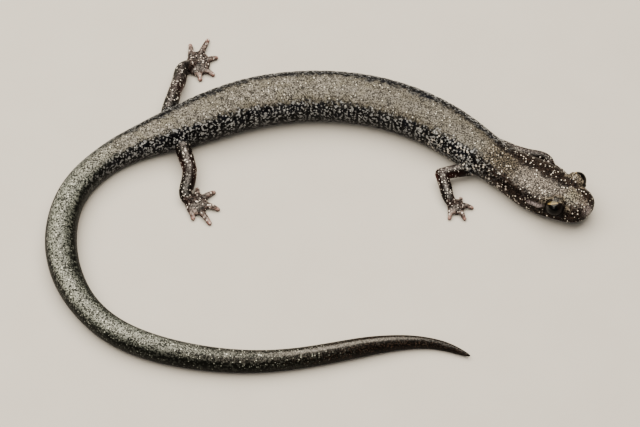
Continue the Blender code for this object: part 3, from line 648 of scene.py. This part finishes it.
# %% Tell each point of the skin where it is
LIT_FROM = (-0.17, -0.31, 0.93)
SHEEN_AT = (0, 2.2, 4.2, 7.0, 10, 13, 20, 56, 64, 72, 84, 115)   # millimetres behind the snout
SHEEN_LEAN = (0.4, 0.5, 1.45, 1.25, 0.9, 0.3, 1.0, 1.0, 2.0, 1.5, 0.2, 0.0)
spots = points_of(skin) / MM
count = len(spots)
line = kdtree.KDTree(len(PLACES))
for i, (x, y) in enumerate(PLACES):
    line.insert((x, y, 0), i)
line.balance()
nearest = np.array([line.find((x, y, 0))[1] for x, y, _ in spots])
s_near = ALONG[nearest]
x, y, tx, ty = way_at(s_near)
side = (spots[:, 0] - x) * ty - (spots[:, 1] - y) * tx
half, _, level, high_edge = section_sizes(s_near)
turned = np.arctan2(side, spots[:, 2] - level * 0.92)
around = np.abs(turned) / pi
tilt = np.arctan2(LIT_FROM[0] * ty - LIT_FROM[1] * tx, LIT_FROM[2])
tilt = tilt * np.interp(s_near, SHEEN_AT, SHEEN_LEAN)
crown = np.abs(turned - tilt) / pi
rise = (spots[:, 2] - level) / (high_edge - level + 0.05)
beyond = np.sqrt((side / (half + 0.05)) ** 2 + rise ** 2)
legness = ramp(beyond, 1.08, 1.32) * (s_near > 7)
facing_up = np.array([normal.vector.z for normal in skin.data.vertex_normals])
print("points on the legs", int((legness > 0.5).sum()), "of", count)

# %% [markdown]
# Feet fade from dark speckled palms to pinkish toe tips, and elbows and knees show oxblood skin.
# A point's share in a foot comes from its distance to the palm and to each toe's own line, and
# only near the floor, so that the shin above a foot keeps its own colour.

# %% Feet and joints
toeness = np.zeros(count)
joint_red = np.zeros(count)
for name, ((px, py), (palm_wide, palm_long), toes) in FEET.items():
    floor_spots = spots[:, :2] - np.array(FLOOR_SHIFT)[:2]
    oval = np.hypot((floor_spots[:, 0] - px) / palm_wide, (floor_spots[:, 1] - py) / palm_long)
    toeness = np.maximum(toeness, 0.5 * ramp(oval, 1.45, 0.90) * ramp(spots[:, 2], 1.5, 1.1))
    for base, tip in np.array(toes):
        share = np.clip(((floor_spots - base) @ (tip - base)) / ((tip - base) @ (tip - base)), 0, 1)
        off = length_of(floor_spots - base - share[:, None] * (tip - base))
        on_toe = ramp(off, 0.75, 0.50) * ramp(spots[:, 2], 1.0, 0.75)
        toeness = np.maximum(toeness, (0.5 + 0.5 * share) * on_toe)
    joint = np.array(Vector(LEGS[name][1]) + FLOOR_SHIFT)
    joint_red = np.maximum(joint_red, bump(np.linalg.norm(spots - joint, axis=1), 1.4))
print("points on the feet", int((toeness * legness > 0.45).sum()))

# %% [markdown]
# The lids are told apart from the head by the same oval that opened them. A dark crease runs
# round each lid, and the beds of the furrow behind the eye and of the fold across the throat are
# dark too: these dark lines are painted shade in the creases. Behind the right eye a paler fold of
# skin catches the light, and so does the nasal swelling at the front of the snout; both are painted
# highlights, the streak.

# %% Lids, folds and the list of numbers
CHEEK_FOLD, CHEEK_DROP = 0.39, 0.012               # in half turns, and how much lower per millimetre
NOSE_SHEEN, NOSE_SHEEN_HALF = (0.25, -0.25, 2.20), 0.50
lid, dark_line = np.zeros(count), np.zeros(count)
for eye_side in (-1, 1):
    x, y, tx, ty = (float(v[0]) for v in way_at([EYE_BACK]))
    turned_to = np.array([[tx, ty, 0], [ty, -tx, 0], [0, 0, 1.0]])
    ray = (spots - np.array(body_place(EYE_BACK, eye_side * EYE_OUT, EYE_HEIGHT))) @ turned_to.T
    from_eye = length_of(ray)
    oval = lid_oval(ray / from_eye[:, None], gaze(eye_side), eye_side)
    near, rim = ramp(from_eye, 1.45, 1.30), LID_RIM[eye_side]
    lid = np.maximum(lid, near * ramp(oval, rim + 0.10, rim - 0.04))
    dark_line = np.maximum(dark_line, near * np.maximum(bump(oval - rim, 0.16), ramp(oval, 1.10, 1.04)))
furrow = bump(furrow_off(s_near, np.abs(turned)), 0.09)
furrow = furrow * ramp(s_near, 4.9, 5.6) * ramp(s_near, GULAR_FOLD + 0.2, GULAR_FOLD - 0.6)
throat_fold = bump(s_near - GULAR_FOLD, 0.20) * ramp(np.abs(turned), 0.85, 1.15)
# painted shade in the beds of the furrow and the throat fold
dark_line = np.maximum(dark_line, 0.8 * np.maximum(furrow, throat_fold) * (1 - legness))
cheek = np.abs(around - CHEEK_FOLD - CHEEK_DROP * (s_near - FURROW_FROM))
# painted highlight along the fold behind the eye and on the front of the snout
streak = ramp(cheek, 0.030, 0.008) * ramp(s_near, 4.1, 4.5) * ramp(s_near, 6.0, 5.2)
nose = np.array(body_place(*NOSE_SHEEN))
streak = np.maximum(streak, 0.8 * bump(length_of(spots - nose), NOSE_SHEEN_HALF))
told_of = {"around": around, "crown": crown, "along": s_near / 100, "legness": legness, "toeness": toeness,
           "joint_red": joint_red * legness, "lid": lid, "dark_line": dark_line, "streak": streak,
           "topness": facing_up, "groove": groove_share(s_near, np.abs(turned))}


def keep_number(piece, label, values):
    """Give each point of the piece its number, for the finish to read by this label."""
    layer = piece.data.attributes.new(label, "FLOAT", "POINT")
    layer.data.foreach_set("value", np.asarray(values, np.float32))


for label, values in told_of.items():
    keep_number(skin, label, values)
print("numbers on each point:", ", ".join(told_of))

# %% [markdown]
# The eyeball is nearly a sphere, black and wet, with a round pupil and a dark iris that bears a
# narrow band of brass above the pupil. The ball is turned to the gaze, the left one rolled up so
# that its brass lies under the lid as in the photograph, and its front bulges a little as the
# cornea does. Two numbers are kept for the finish: the angle off the gaze, which draws the pupil
# and the iris, and the rise above it, which keeps the brass at the top.

# %% Model the eyes
CORNEA, CORNEA_HALF = 0.05, 0.70                   # how far the cornea bulges, and its angle


def make_eye(side, name):
    """One eyeball, turned to its gaze, with the two numbers for its finish."""
    centre = body_place(EYE_BACK, side * EYE_OUT, EYE_HEIGHT)
    back, left, up = gaze(side)
    x, y, tx, ty = (float(v[0]) for v in way_at([EYE_BACK]))
    look = Vector((tx * back + ty * left, ty * back - tx * left, up + ROLLED_UP[side])).normalized()
    bpy.ops.object.select_all(action="DESELECT")
    bpy.ops.mesh.primitive_uv_sphere_add(segments=64, ring_count=40, radius=EYE_RADIUS)
    eye = begin(name)
    turn = Vector((0, 0, 1)).rotation_difference(look).to_matrix()
    off, rise = [], []
    over = Vector((tx * 0.38, ty * 0.38, 1.0))
    over = (over - look * over.dot(look)).normalized()
    for v in eye.data.vertices:
        angle = Vector((0, 0, 1)).angle(v.co)
        place = turn @ (v.co.normalized() * (EYE_RADIUS + CORNEA * bump(angle, CORNEA_HALF)))
        off.append(angle)
        rise.append(place.normalized().dot(over))
        v.co = (centre + place) * MM
    keep_number(eye, "off_gaze", off)
    keep_number(eye, "rise", rise)
    bpy.ops.object.shade_smooth()
    return eye


eyes = {side: make_eye(side, name) for side, name in ((-1, "eyeball_right"), (1, "eyeball_left"))}
print("eyes", [len(e.data.polygons) for e in eyes.values()], "faces")

# %% [markdown]
# Finishes. Every colour is written as the hex value a painter would read off the animal, and one
# function turns it to the linear numbers that Blender mixes. A second one adds a node with its
# settings, and fills its inputs with numbers, colours or the outputs of other nodes, so that
# each finish below reads as a list of steps. The words it knows stand for Blender's own nodes.

# %% Helpers for the finishes
KINDS = {
    "place": ("TexCoord", {}),                      # where a point lies, in metres
    "told": ("Attribute", {}),                      # a number that the mesh carries
    "noise": ("TexNoise", {}),                      # place, scale, detail, roughness
    "cells": ("TexVoronoi", {}),                    # place, scale
    "draws": ("SeparateColor", {}),                 # a cell's colour, taken as three lots
    "curve": ("FloatCurve", {}),
    # a soft step: value, where it starts and ends, and what it starts and ends at if not 0 and 1
    "step": ("MapRange", {"interpolation_type": "SMOOTHSTEP"}),
    "plus": ("Math", {"operation": "ADD"}),
    "minus": ("Math", {"operation": "SUBTRACT"}),
    "times": ("Math", {"operation": "MULTIPLY"}),
    "larger": ("Math", {"operation": "MAXIMUM"}),
    "below": ("Math", {"operation": "LESS_THAN"}),
    "mix": ("Mix", {}),                             # share, then two numbers
    "blend": ("Mix", {"data_type": "RGBA"}),        # share, then two colours
    "relief": ("Bump", {}),
    "shader": ("BsdfPrincipled", {}),
    "result": ("OutputMaterial", {})}


def linear(hexa):
    """sRGB hex to a linear colour with alpha."""
    parts = [int(hexa[i:i + 2], 16) / 255 for i in (1, 3, 5)]
    return tuple(c / 12.92 if c <= 0.04045 else ((c + 0.055) / 1.055) ** 2.4 for c in parts) + (1.0,)


def add(kind, *inputs, named=None, out=None, **settings):
    """Add a node with its settings, fill its inputs in order or by name, and return an output."""
    node_type, usual = KINDS[kind]
    node = tree.nodes.new("ShaderNode" + node_type)
    for key, value in {**usual, **settings}.items():
        setattr(node, key, value)
    in_use = [socket for socket in node.inputs if socket.enabled]
    by_name = [(node.inputs[key], value) for key, value in (named or {}).items()]
    for socket, value in [*zip(in_use, inputs), *by_name]:
        if isinstance(value, bpy.types.NodeSocket):
            tree.links.new(value, socket)
        else:
            socket.default_value = value
    return node.outputs[out] if out else next((s for s in node.outputs if s.enabled), None)


def new_finish(name):
    """A finish with an empty list of nodes, and that list."""
    finish = bpy.data.materials.new(name)
    finish.use_nodes = True
    finish.node_tree.nodes.clear()
    return finish, finish.node_tree


PER_MM = 1000.0      # places are in metres, so a pattern with one cell per millimetre has scale 1000
print("kinds of node", len(KINDS))

# %% [markdown]
# Amphibian skin is a thin wet film over pigment. The finish reads the numbers that the skin
# carries and lays pattern over pattern, each with a scale that comes from the fleck's real size.
# Three things come again and again and are functions: round dots, a colour with dots on it, and
# a change from a dark tone to a pale one. For the dots, each cell of a cell pattern draws a lot,
# which says whether the cell has a dot, and how large a one.

# %% Begin the skin's finish
moist_skin, tree = new_finish("moist_skin")
place = add("place", out="Object")
around_in, crown_in, along_in, top_in, leg_in, toe_in, red_in, groove_in, lid_in, line_in, streak_in = (
    add("told", attribute_name=label, out="Fac") for label in (
        "around", "crown", "along", "topness", "legness", "toeness", "joint_red", "groove",
        "lid", "dark_line", "streak"))
# along is the distance behind the snout over 100 mm, so that 0.50 is 50 mm; around and crown are in
# half turns, and topness is 1 where the skin faces straight up; the rest are shares from 0 to 1
DOT_SMALLEST, DOT_LARGEST = 0.6, 1.25              # of the dot's usual radius


def dots(size_mm, radius, chance):
    """Round dots, one in each cell where the cell's own draw is below the chance."""
    cells = add("cells", place, PER_MM / size_mm, out="Color")
    draw = add("draws", cells).node.outputs
    here = add("below", draw[0], chance)
    size = add("step", draw[1], 0.0, 1.0, radius * DOT_SMALLEST, radius * DOT_LARGEST)
    inside = add("minus", size, cells.node.outputs["Distance"])
    return add("times", add("step", inside, -0.05, 0.06), here)


def dotted(under, size_mm, radius, chance, colour):
    """The colour underneath with round dots on it."""
    return add("blend", dots(size_mm, radius, chance), under, linear(colour))


def two_tone(pattern, start, end, dark, pale):
    """From the first colour to the second as a pattern goes from start to end."""
    return add("blend", add("step", pattern, start, end), linear(dark), linear(pale))


print("numbers read by the finish", len(tree.nodes) - 1)

# %% [markdown]
# Over the back lies a crust of tiny silvery and brassy flecks, so dense that it reads as
# grey-olive, with a ragged edge. The crust band is laid round the crown, the line where the sheen
# lies, so it leans towards the light and its pale grey is partly painted sheen. Down the flanks it
# gives way to separate whitish marks on blue-black, thinned out in the beds of the costal grooves
# as painted shade in those creases. The crust is worm-shaped noise between dark gaps; the marks
# are cells that each draw a lot for having a dot, and its size.

# %% Back and flank
wander = add("noise", place, PER_MM / 1.3, 3.0, 0.6)
fine_wander = add("noise", place, PER_MM / 0.40, 2.0, 0.6)
wide_swing = add("times", add("minus", wander, 0.5), 0.12)
fine_swing = add("times", add("minus", fine_wander, 0.5), 0.24)
shore = add("plus", crown_in, add("plus", wide_swing, fine_swing))

# the crust covers this share of the half turn from back to belly, by distance along the body
BAND_HALF = ((0.02, 0.13), (0.05, 0.145), (0.08, 0.13), (0.14, 0.17), (0.22, 0.19), (0.40, 0.18),
             (0.48, 0.14), (0.58, 0.14), (0.66, 0.13), (0.72, 0.12), (0.80, 0.095), (0.90, 0.075))
BAND_AT_SNOUT, BAND_AT_END = 0.09, 0.06
band_half = add("curve", named={"Value": along_in})
band = band_half.node.mapping
band.curves[0].points[0].location = (0.0, BAND_AT_SNOUT)
band.curves[0].points[1].location = (1.0, BAND_AT_END)
for along, share in BAND_HALF:
    band.curves[0].points.new(along, share)
band.update()
# the crust band follows the crown, so its pale grey is partly painted sheen
past_shore = add("minus", shore, band_half)
on_lit_back = add("step", past_shore, 0.045, -0.045)

# flecks of 0.1 to 0.2 mm: worm-shaped from noise, round from cells
flecks = add("noise", place, PER_MM / 0.14, 1.5, 0.6)
grain = add("noise", place, PER_MM / 0.55, 2.0, 0.55)
dense = add("plus", add("times", flecks, 0.80), add("times", grain, 0.20))
tone = add("noise", place, PER_MM / 0.33, 1.0, 0.5)
silver = two_tone(tone, 0.36, 0.64, "#54504A", "#827D74")
crust = add("blend", add("step", wander, 0.40, 0.62), silver, linear("#656052"))
crust = add("blend", add("step", along_in, 0.34, 0.22, 0.0, 0.45), crust, linear("#48433A"))
gap = two_tone(grain, 0.40, 0.60, "#181511", "#2A2620")
frost = add("blend", add("step", dense, 0.43, 0.57), gap, crust)
frosted = dotted(frost, 0.27, 0.20, 0.36, "#E4E0D4")

# black flank with whitish marks that crowd towards the belly
ground = two_tone(wander, 0.45, 0.65, "#050507", "#0C0D13")
low_side = add("step", around_in, 0.30, 0.50)
worms = add("plus", add("noise", place, PER_MM / 0.25, 1.0, 0.5), add("times", low_side, 0.03))
worms = add("step", worms, 0.57, 0.61)
round_marks = dots(0.27, 0.28, 0.48)
marks = add("larger", add("times", worms, 0.55), round_marks)
marks = add("times", marks, add("step", around_in, 0.12, 0.25, 0.20, 1.0))
# painted shade: fewer marks in the beds of the costal grooves darken the creases
marks = add("times", marks, add("step", groove_in, 0.24, 0.70, 1.0, 0.14))
mark_tone = two_tone(around_in, 0.28, 0.44, "#AEAFB1", "#9B9C9E")
flank = add("blend", marks, ground, mark_tone)
body = add("blend", on_lit_back, flank, frosted)
print("nodes after the back and flank", len(tree.nodes))

# %% [markdown]
# Along the tail the crust turns greener and darker and white specks crowd on it. The change is
# a slow step along the body, as on the animal. A painted highlight glints along the crest. Here
# the crust has no sharp shore: a fringe of it thins out down the side, partly crust and partly
# painted sheen, the marks are painted paler near the crown and darker away from it as light and
# shade, and the lower edge of the side is painted dark as shade.

# %% Crest and sides of the tail
late = add("step", along_in, 0.80, 0.92)
tail_base = add("blend", late, linear("#6F736D"), linear("#413F3B"))
tail_crust = add("blend", add("step", dense, 0.46, 0.58), linear("#151814"), tail_base)
# painted highlight: a glint on the pale flecks along the crest of the tail
tail_glint = add("times", add("step", crown_in, 0.16, 0.04, 0.0, 0.6), add("step", dense, 0.46, 0.54))
tail_glint = add("times", tail_glint, add("minus", 1.0, add("times", late, 0.7)))
tail_crust = add("blend", tail_glint, tail_crust, linear("#9A9D92"))
tail_crust = dotted(tail_crust, 0.27, 0.24, 0.50, "#D9DACF")

# sides: marks that fade towards the tip, over the fringe of the crust and its painted sheen, marks
# painted lighter or darker by how far they lie from the crown, and a painted shade on the lower rim
fading_marks = add("times", marks, add("step", along_in, 0.66, 0.80, 0.8, 0.2))
tail_marks = add("larger", dots(0.22, 0.27, 0.46), fading_marks)
# painted light and shade: the marks are paler near the crown and darker away from it
tail_fleck_shaded = two_tone(crown_in, 0.14, 0.32, "#B4B6AC", "#676A63")
tail_fringe_sheen = add("times", add("step", past_shore, 0.24, 0.04, 0.0, 0.9), add("step", dense, 0.45, 0.56))
tail_fringe_sheen = add("times", tail_fringe_sheen, add("step", around_in, 0.18, 0.32, 1.0, 0.1))
tail_flank = add("blend", tail_fringe_sheen, linear("#070806"), tail_base)
tail_flank = add("blend", tail_marks, tail_flank, tail_fleck_shaded)
# painted shade over the lower side of the front part of the tail
tail_rim_shade = add("times", add("step", around_in, 0.20, 0.31, 0.0, 0.8), add("step", along_in, 0.77, 0.70))
tail_flank = add("blend", tail_rim_shade, tail_flank, linear("#0A0B09"))
tail_paint = add("blend", on_lit_back, tail_flank, tail_crust)
body = add("blend", add("step", along_in, 0.50, 0.62), body, tail_paint)
print("nodes after the tail", len(tree.nodes))

# %% [markdown]
# The tip is plain dark brown, and from the side down to the belly everything grows darker:
# partly the belly's own dark colour, partly painted shade. Both are laid over all the paint so
# far, so that crust and marks darken alike. A thin pale sheen, a painted highlight, runs on along
# the crest of the last part.

# %% Tail tip, belly and the thin sheen
tail_dark = two_tone(flecks, 0.52, 0.68, "#0B0807", "#382C25")
body = add("blend", add("step", along_in, 0.92, 1.06, 0.0, 0.95), body, tail_dark)
# painted shade down the lower flank, together with the belly's own darker colour
body = add("blend", add("step", around_in, 0.42, 0.62, 0.0, 0.6), body, linear("#060505"))
# painted highlight: a thin pale sheen along the crest of the last part of the tail
late_painted_sheen = add("times", add("step", crown_in, 0.085, 0.03), add("step", along_in, 0.93, 0.98))
late_painted_sheen = add("times", late_painted_sheen, add("step", along_in, 1.12, 1.05, 0.0, 0.75))
late_painted_sheen = add("times", late_painted_sheen, add("step", flecks, 0.36, 0.58, 0.4, 1.0))
body = add("blend", late_painted_sheen, body, linear("#7C7772"))
print("nodes after the tip and the belly", len(tree.nodes))

# %% [markdown]
# The head is brown-black with crowded small white specks and a paler top, and larger whitish
# marks lie low on the cheeks and the shoulders. The paler top is the crust band round the crown,
# so it is partly painted sheen. The nape between head and shoulders is darker and less glossy,
# with crisp specks.

# %% Head, shoulders and nape
head_in = add("step", along_in, 0.135, 0.085)
# the paler top follows the crust band round the crown, partly painted sheen
head_gap = add("blend", on_lit_back, linear("#080505"), linear("#1D1714"))
head_fleck = add("blend", on_lit_back, linear("#302722"), linear("#71675E"))
head_paint = add("blend", add("step", dense, 0.47, 0.58), head_gap, head_fleck)
head_paint = dotted(head_paint, 0.24, 0.23, 0.55, "#F4EDE2")
cheek_in = add("times", add("step", along_in, 0.050, 0.075), add("step", around_in, 0.30, 0.40))
head_paint = add("blend", add("times", dots(0.31, 0.31, 0.42), cheek_in), head_paint, linear("#B5AAA3"))
body = add("blend", head_in, body, head_paint)
shoulder_in = add("times", add("step", along_in, 0.080, 0.110), add("step", along_in, 0.215, 0.165))
shoulder_in = add("times", shoulder_in, add("step", around_in, 0.22, 0.32))
body = add("blend", add("times", dots(0.31, 0.31, 0.50), shoulder_in), body, linear("#C9C1B8"))
nape_in = add("times", add("step", along_in, 0.072, 0.092), add("step", along_in, 0.136, 0.106))
nape_paint = two_tone(dense, 0.48, 0.56, "#090605", "#554D40")
nape_paint = dotted(nape_paint, 0.23, 0.24, 0.52, "#D6CDBF")
body = add("blend", add("times", nape_in, on_lit_back), body, nape_paint)
print("nodes after the head", len(tree.nodes))

# %% [markdown]
# The snout's top carries pale olive flecks, laid only inside the crust band round the crown, which
# is partly painted sheen. The lids are olive-grey and flecked, painted black where they face
# downwards as painted shade, with the dark crease round them. The streak and the dark lines come
# last, over everything, because on the animal they are shadow and shine, and not pigment: they are
# painted highlight and painted shade.

# %% Snout, lids, streak and dark lines
snout_in = add("times", add("step", along_in, 0.032, 0.020), add("step", along_in, 0.010, 0.020))
snout_paint = two_tone(dense, 0.47, 0.57, "#110D0B", "#807966")
body = add("blend", add("times", snout_in, on_lit_back), body, snout_paint)
lid_paint = two_tone(dense, 0.46, 0.56, "#1B1613", "#8A8071")
# painted shade: the lid goes black where it faces downwards
lid_paint = add("blend", add("step", top_in, 0.40, 0.80), linear("#0D0908"), lid_paint)
body = add("blend", lid_in, body, lid_paint)
streak_share = add("times", streak_in, add("step", dense, 0.42, 0.54, 0.2, 0.9))
body = add("blend", streak_share, body, linear("#8F8487"))
body = add("blend", add("times", line_in, 0.95), body, linear("#060404"))
print("nodes after the snout and lids", len(tree.nodes))

# %% [markdown]
# The legs are brown-black with whitish specks, a greyer painted highlight of the wet film on top
# and oxblood skin under the elbows and knees. The palms are dark and dotted; the toes grow paler
# and end in pinkish tips, and their sides are painted darker as shade.

# %% Legs and feet
under = add("step", top_in, 0.70, 0.10, 0.15, 0.95)
leg_ground = add("blend", add("times", red_in, under), linear("#0B0807"), linear("#3A1712"))
leg_specks = add("larger", dots(0.28, 0.25, 0.46), dots(0.20, 0.24, 0.26))
# painted highlight: the wet film's gleam on the tops of the legs
leg_painted_highlight = add("times", add("step", top_in, 0.88, 0.99, 0.0, 0.5), add("step", dense, 0.46, 0.56))
leg_ground = add("blend", leg_painted_highlight, leg_ground, linear("#6F6666"))
leg_paint = add("blend", leg_specks, leg_ground, linear("#D8D1C9"))
foot_ground = two_tone(dense, 0.46, 0.58, "#0D0908", "#483D3A")
toe_ground = two_tone(tone, 0.38, 0.60, "#352B29", "#84746F")
foot_ground = add("blend", add("step", toe_in, 0.55, 0.74), foot_ground, toe_ground)
foot_ground = add("blend", add("step", toe_in, 0.80, 1.00, 0.0, 0.55), foot_ground, linear("#AE827B"))
# painted shade: feet and toes go darker on their sides, away from the light above
foot_ground = add("blend", add("step", top_in, 0.15, 0.70, 0.30, 1.0), linear("#1D1311"), foot_ground)
foot_paint = dotted(foot_ground, 0.26, 0.29, 0.58, "#DCD1CA")
leg_paint = add("blend", add("step", toe_in, 0.20, 0.45), leg_paint, foot_paint)
paint = add("blend", leg_in, body, leg_paint)
print("nodes after the legs", len(tree.nodes))

# %% [markdown]
# The skin is finely pebbled, and a wet film lies on it. The film is the shader's coat: it has its
# own, slightly rougher relief, it is thick over the pale crust and thin in the gaps, and it is
# strongest along the crown, where it turns the crust silvery. On legs and lids it lies on top.

# %% Relief and the wet film
pebble = add("noise", place, PER_MM / 0.17, 1.5, 0.6)
wrinkle = add("noise", place, PER_MM / 0.60, 2.0, 0.5)
relief = add("plus", add("times", pebble, 0.7), add("times", wrinkle, 0.4))
bumped = add("relief", named={"Strength": 0.7, "Distance": 0.06 * MM, "Height": relief})
film = add("relief", named={"Strength": 0.8, "Distance": 0.07 * MM, "Height": relief})
gloss = add("step", flecks, 0.3, 0.7, 0.36, 0.52)
shine = add("step", add("larger", dense, add("times", marks, 0.6)), 0.42, 0.60, 0.22, 1.0)
on_crown = add("times", add("step", past_shore, 0.080, 0.0, 0.015, 1.0),
                 add("step", nape_in, 0.0, 1.0, 1.0, 0.20))
on_crown = add("times", on_crown, add("minus", 1.0, add("times", late, 0.4)))
on_top = add("step", top_in, 0.66, 0.95, 0.03, 0.95)
on_limb = add("larger", leg_in, lid_in)
lit = add("mix", on_limb, on_crown, on_top)
wetness = add("times", lit, shine)
wetness = add("larger", wetness, add("times", streak_in, 0.7))
shader = add("shader", named={
    "Base Color": paint, "Roughness": gloss, "IOR": 1.40, "Specular IOR Level": 0.05, "Normal": bumped,
    "Coat Weight": wetness, "Coat Roughness": 0.32, "Coat IOR": 1.50, "Coat Normal": film})
add("result", shader)
skin.data.materials.append(moist_skin)
print("skin finish nodes", len(tree.nodes))

# %% [markdown]
# The eye is wet and mirror-smooth. The pupil is plain black and the iris black-brown. The brass
# is a narrow band across the iris's top, brightest along its lower edge and olive above it. The
# wet film is a coat of its own, so the highlight stays sharp over any colour.

# %% The eye's finish
wet_eye, tree = new_finish("wet_eye")
place = add("place", out="Object")
off_in, rise_in = (add("told", attribute_name=label, out="Fac") for label in ("off_gaze", "rise"))
dust = add("noise", place, PER_MM / 0.09, 2.0, 0.6)
rim = add("times", add("step", rise_in, 0.50, 0.56), add("step", off_in, 1.02, 0.78))
rim = add("times", rim, add("step", dust, 0.25, 0.50, 0.55, 1.0))
brass = two_tone(rise_in, 0.52, 0.64, "#C4A76B", "#5F5433")
iris = add("blend", rim, linear("#0D0907"), brass)
seen = add("blend", add("step", off_in, 0.52, 0.58), linear("#030303"), iris)
tear_film = add("step", rise_in, -0.2, 0.5, 0.12, 1.0)
shader = add("shader", named={
    "Base Color": seen, "Roughness": 0.30, "IOR": 1.36, "Specular IOR Level": 0.05,
    "Coat Weight": tear_film, "Coat Roughness": 0.04, "Coat IOR": 1.38})
add("result", shader)
for eye in eyes.values():
    eye.data.materials.append(wet_eye)
print("eye finish nodes", len(tree.nodes))

# %% [markdown]
# Each piece hangs on the frame's root, and the solids it stands for are hidden. The skin takes
# the place of all the flesh, so that no parting shows; each eyeball takes the place of its own solid.

# %% Hang the pieces on the frame
flesh = [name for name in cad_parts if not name.startswith("eye")]
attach(skin, "root")
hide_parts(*flesh)
for side, name in ((-1, "eye_right"), (1, "eye_left")):
    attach(eyes[side], "root")
    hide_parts(name)
print("flesh nodes under the skin", len(flesh))

# %% [markdown]
# A floor of matt pale card, which has no shine of its own beside the wet skin, one wide soft
# light overhead and a weaker one in front. The camera looks down at 50 degrees along +Y from
# 24 cm, with the long lens that gives the photograph's frame: 64 mm of floor across the picture.

# %% Floor, light and camera
bpy.ops.object.select_all(action="DESELECT")
bpy.ops.mesh.primitive_plane_add(size=1.2, location=(0, 0, 0))
floor = begin("pale_floor")
pale, tree = new_finish("pale_card")
place = add("place", out="Object")
tint = add("blend", add("noise", place, PER_MM / 6.0, 3.0), linear("#C3BEB7"), linear("#CAC6C0"))
add("result", add("shader", named={"Base Color": tint, "Roughness": 0.75}))
floor.data.materials.append(pale)

aim = FLOOR_SHIFT * MM


def soft_light(name, spot, size, power, tone):
    """A square lamp at a spot, turned to the animal."""
    light = bpy.data.lights.new(name, "AREA")
    light.shape, light.size, light.energy, light.color = "SQUARE", size, power, linear(tone)[:3]
    lamp = bpy.data.objects.new(name, light)
    bpy.context.scene.collection.objects.link(lamp)
    lamp.location = Vector(spot)
    lamp.rotation_euler = (aim - Vector(spot)).to_track_quat("-Z", "Y").to_euler()


soft_light("overhead", (-0.03, 0.035, 0.22), 0.36, 2.25, "#FFF5E2")
soft_light("front_fill", (-0.10, -0.30, 0.26), 0.20, 0.25, "#FFF8EE")
world = bpy.data.worlds.new("studio")
world.use_nodes = True
world.node_tree.nodes["Background"].inputs["Color"].default_value = linear("#E9E4DA")
world.node_tree.nodes["Background"].inputs["Strength"].default_value = 0.15
bpy.context.scene.world = world

LOOKS_DOWN, CAMERA_AWAY = radians(50.0), 0.240
camera = bpy.data.objects.new("camera", bpy.data.cameras.new("camera"))
bpy.context.scene.collection.objects.link(camera)
camera.data.sensor_width, camera.data.lens, camera.data.clip_start = 36.0, 135.0, 0.005
camera.location = aim + Vector((0, -cos(LOOKS_DOWN), sin(LOOKS_DOWN))) * CAMERA_AWAY
camera.rotation_euler = (pi / 2 - LOOKS_DOWN, 0, 0)
bpy.context.scene.camera = camera
print("lights 2, camera", round(camera.data.lens), "mm at", round(camera.location.length * 1000), "mm")
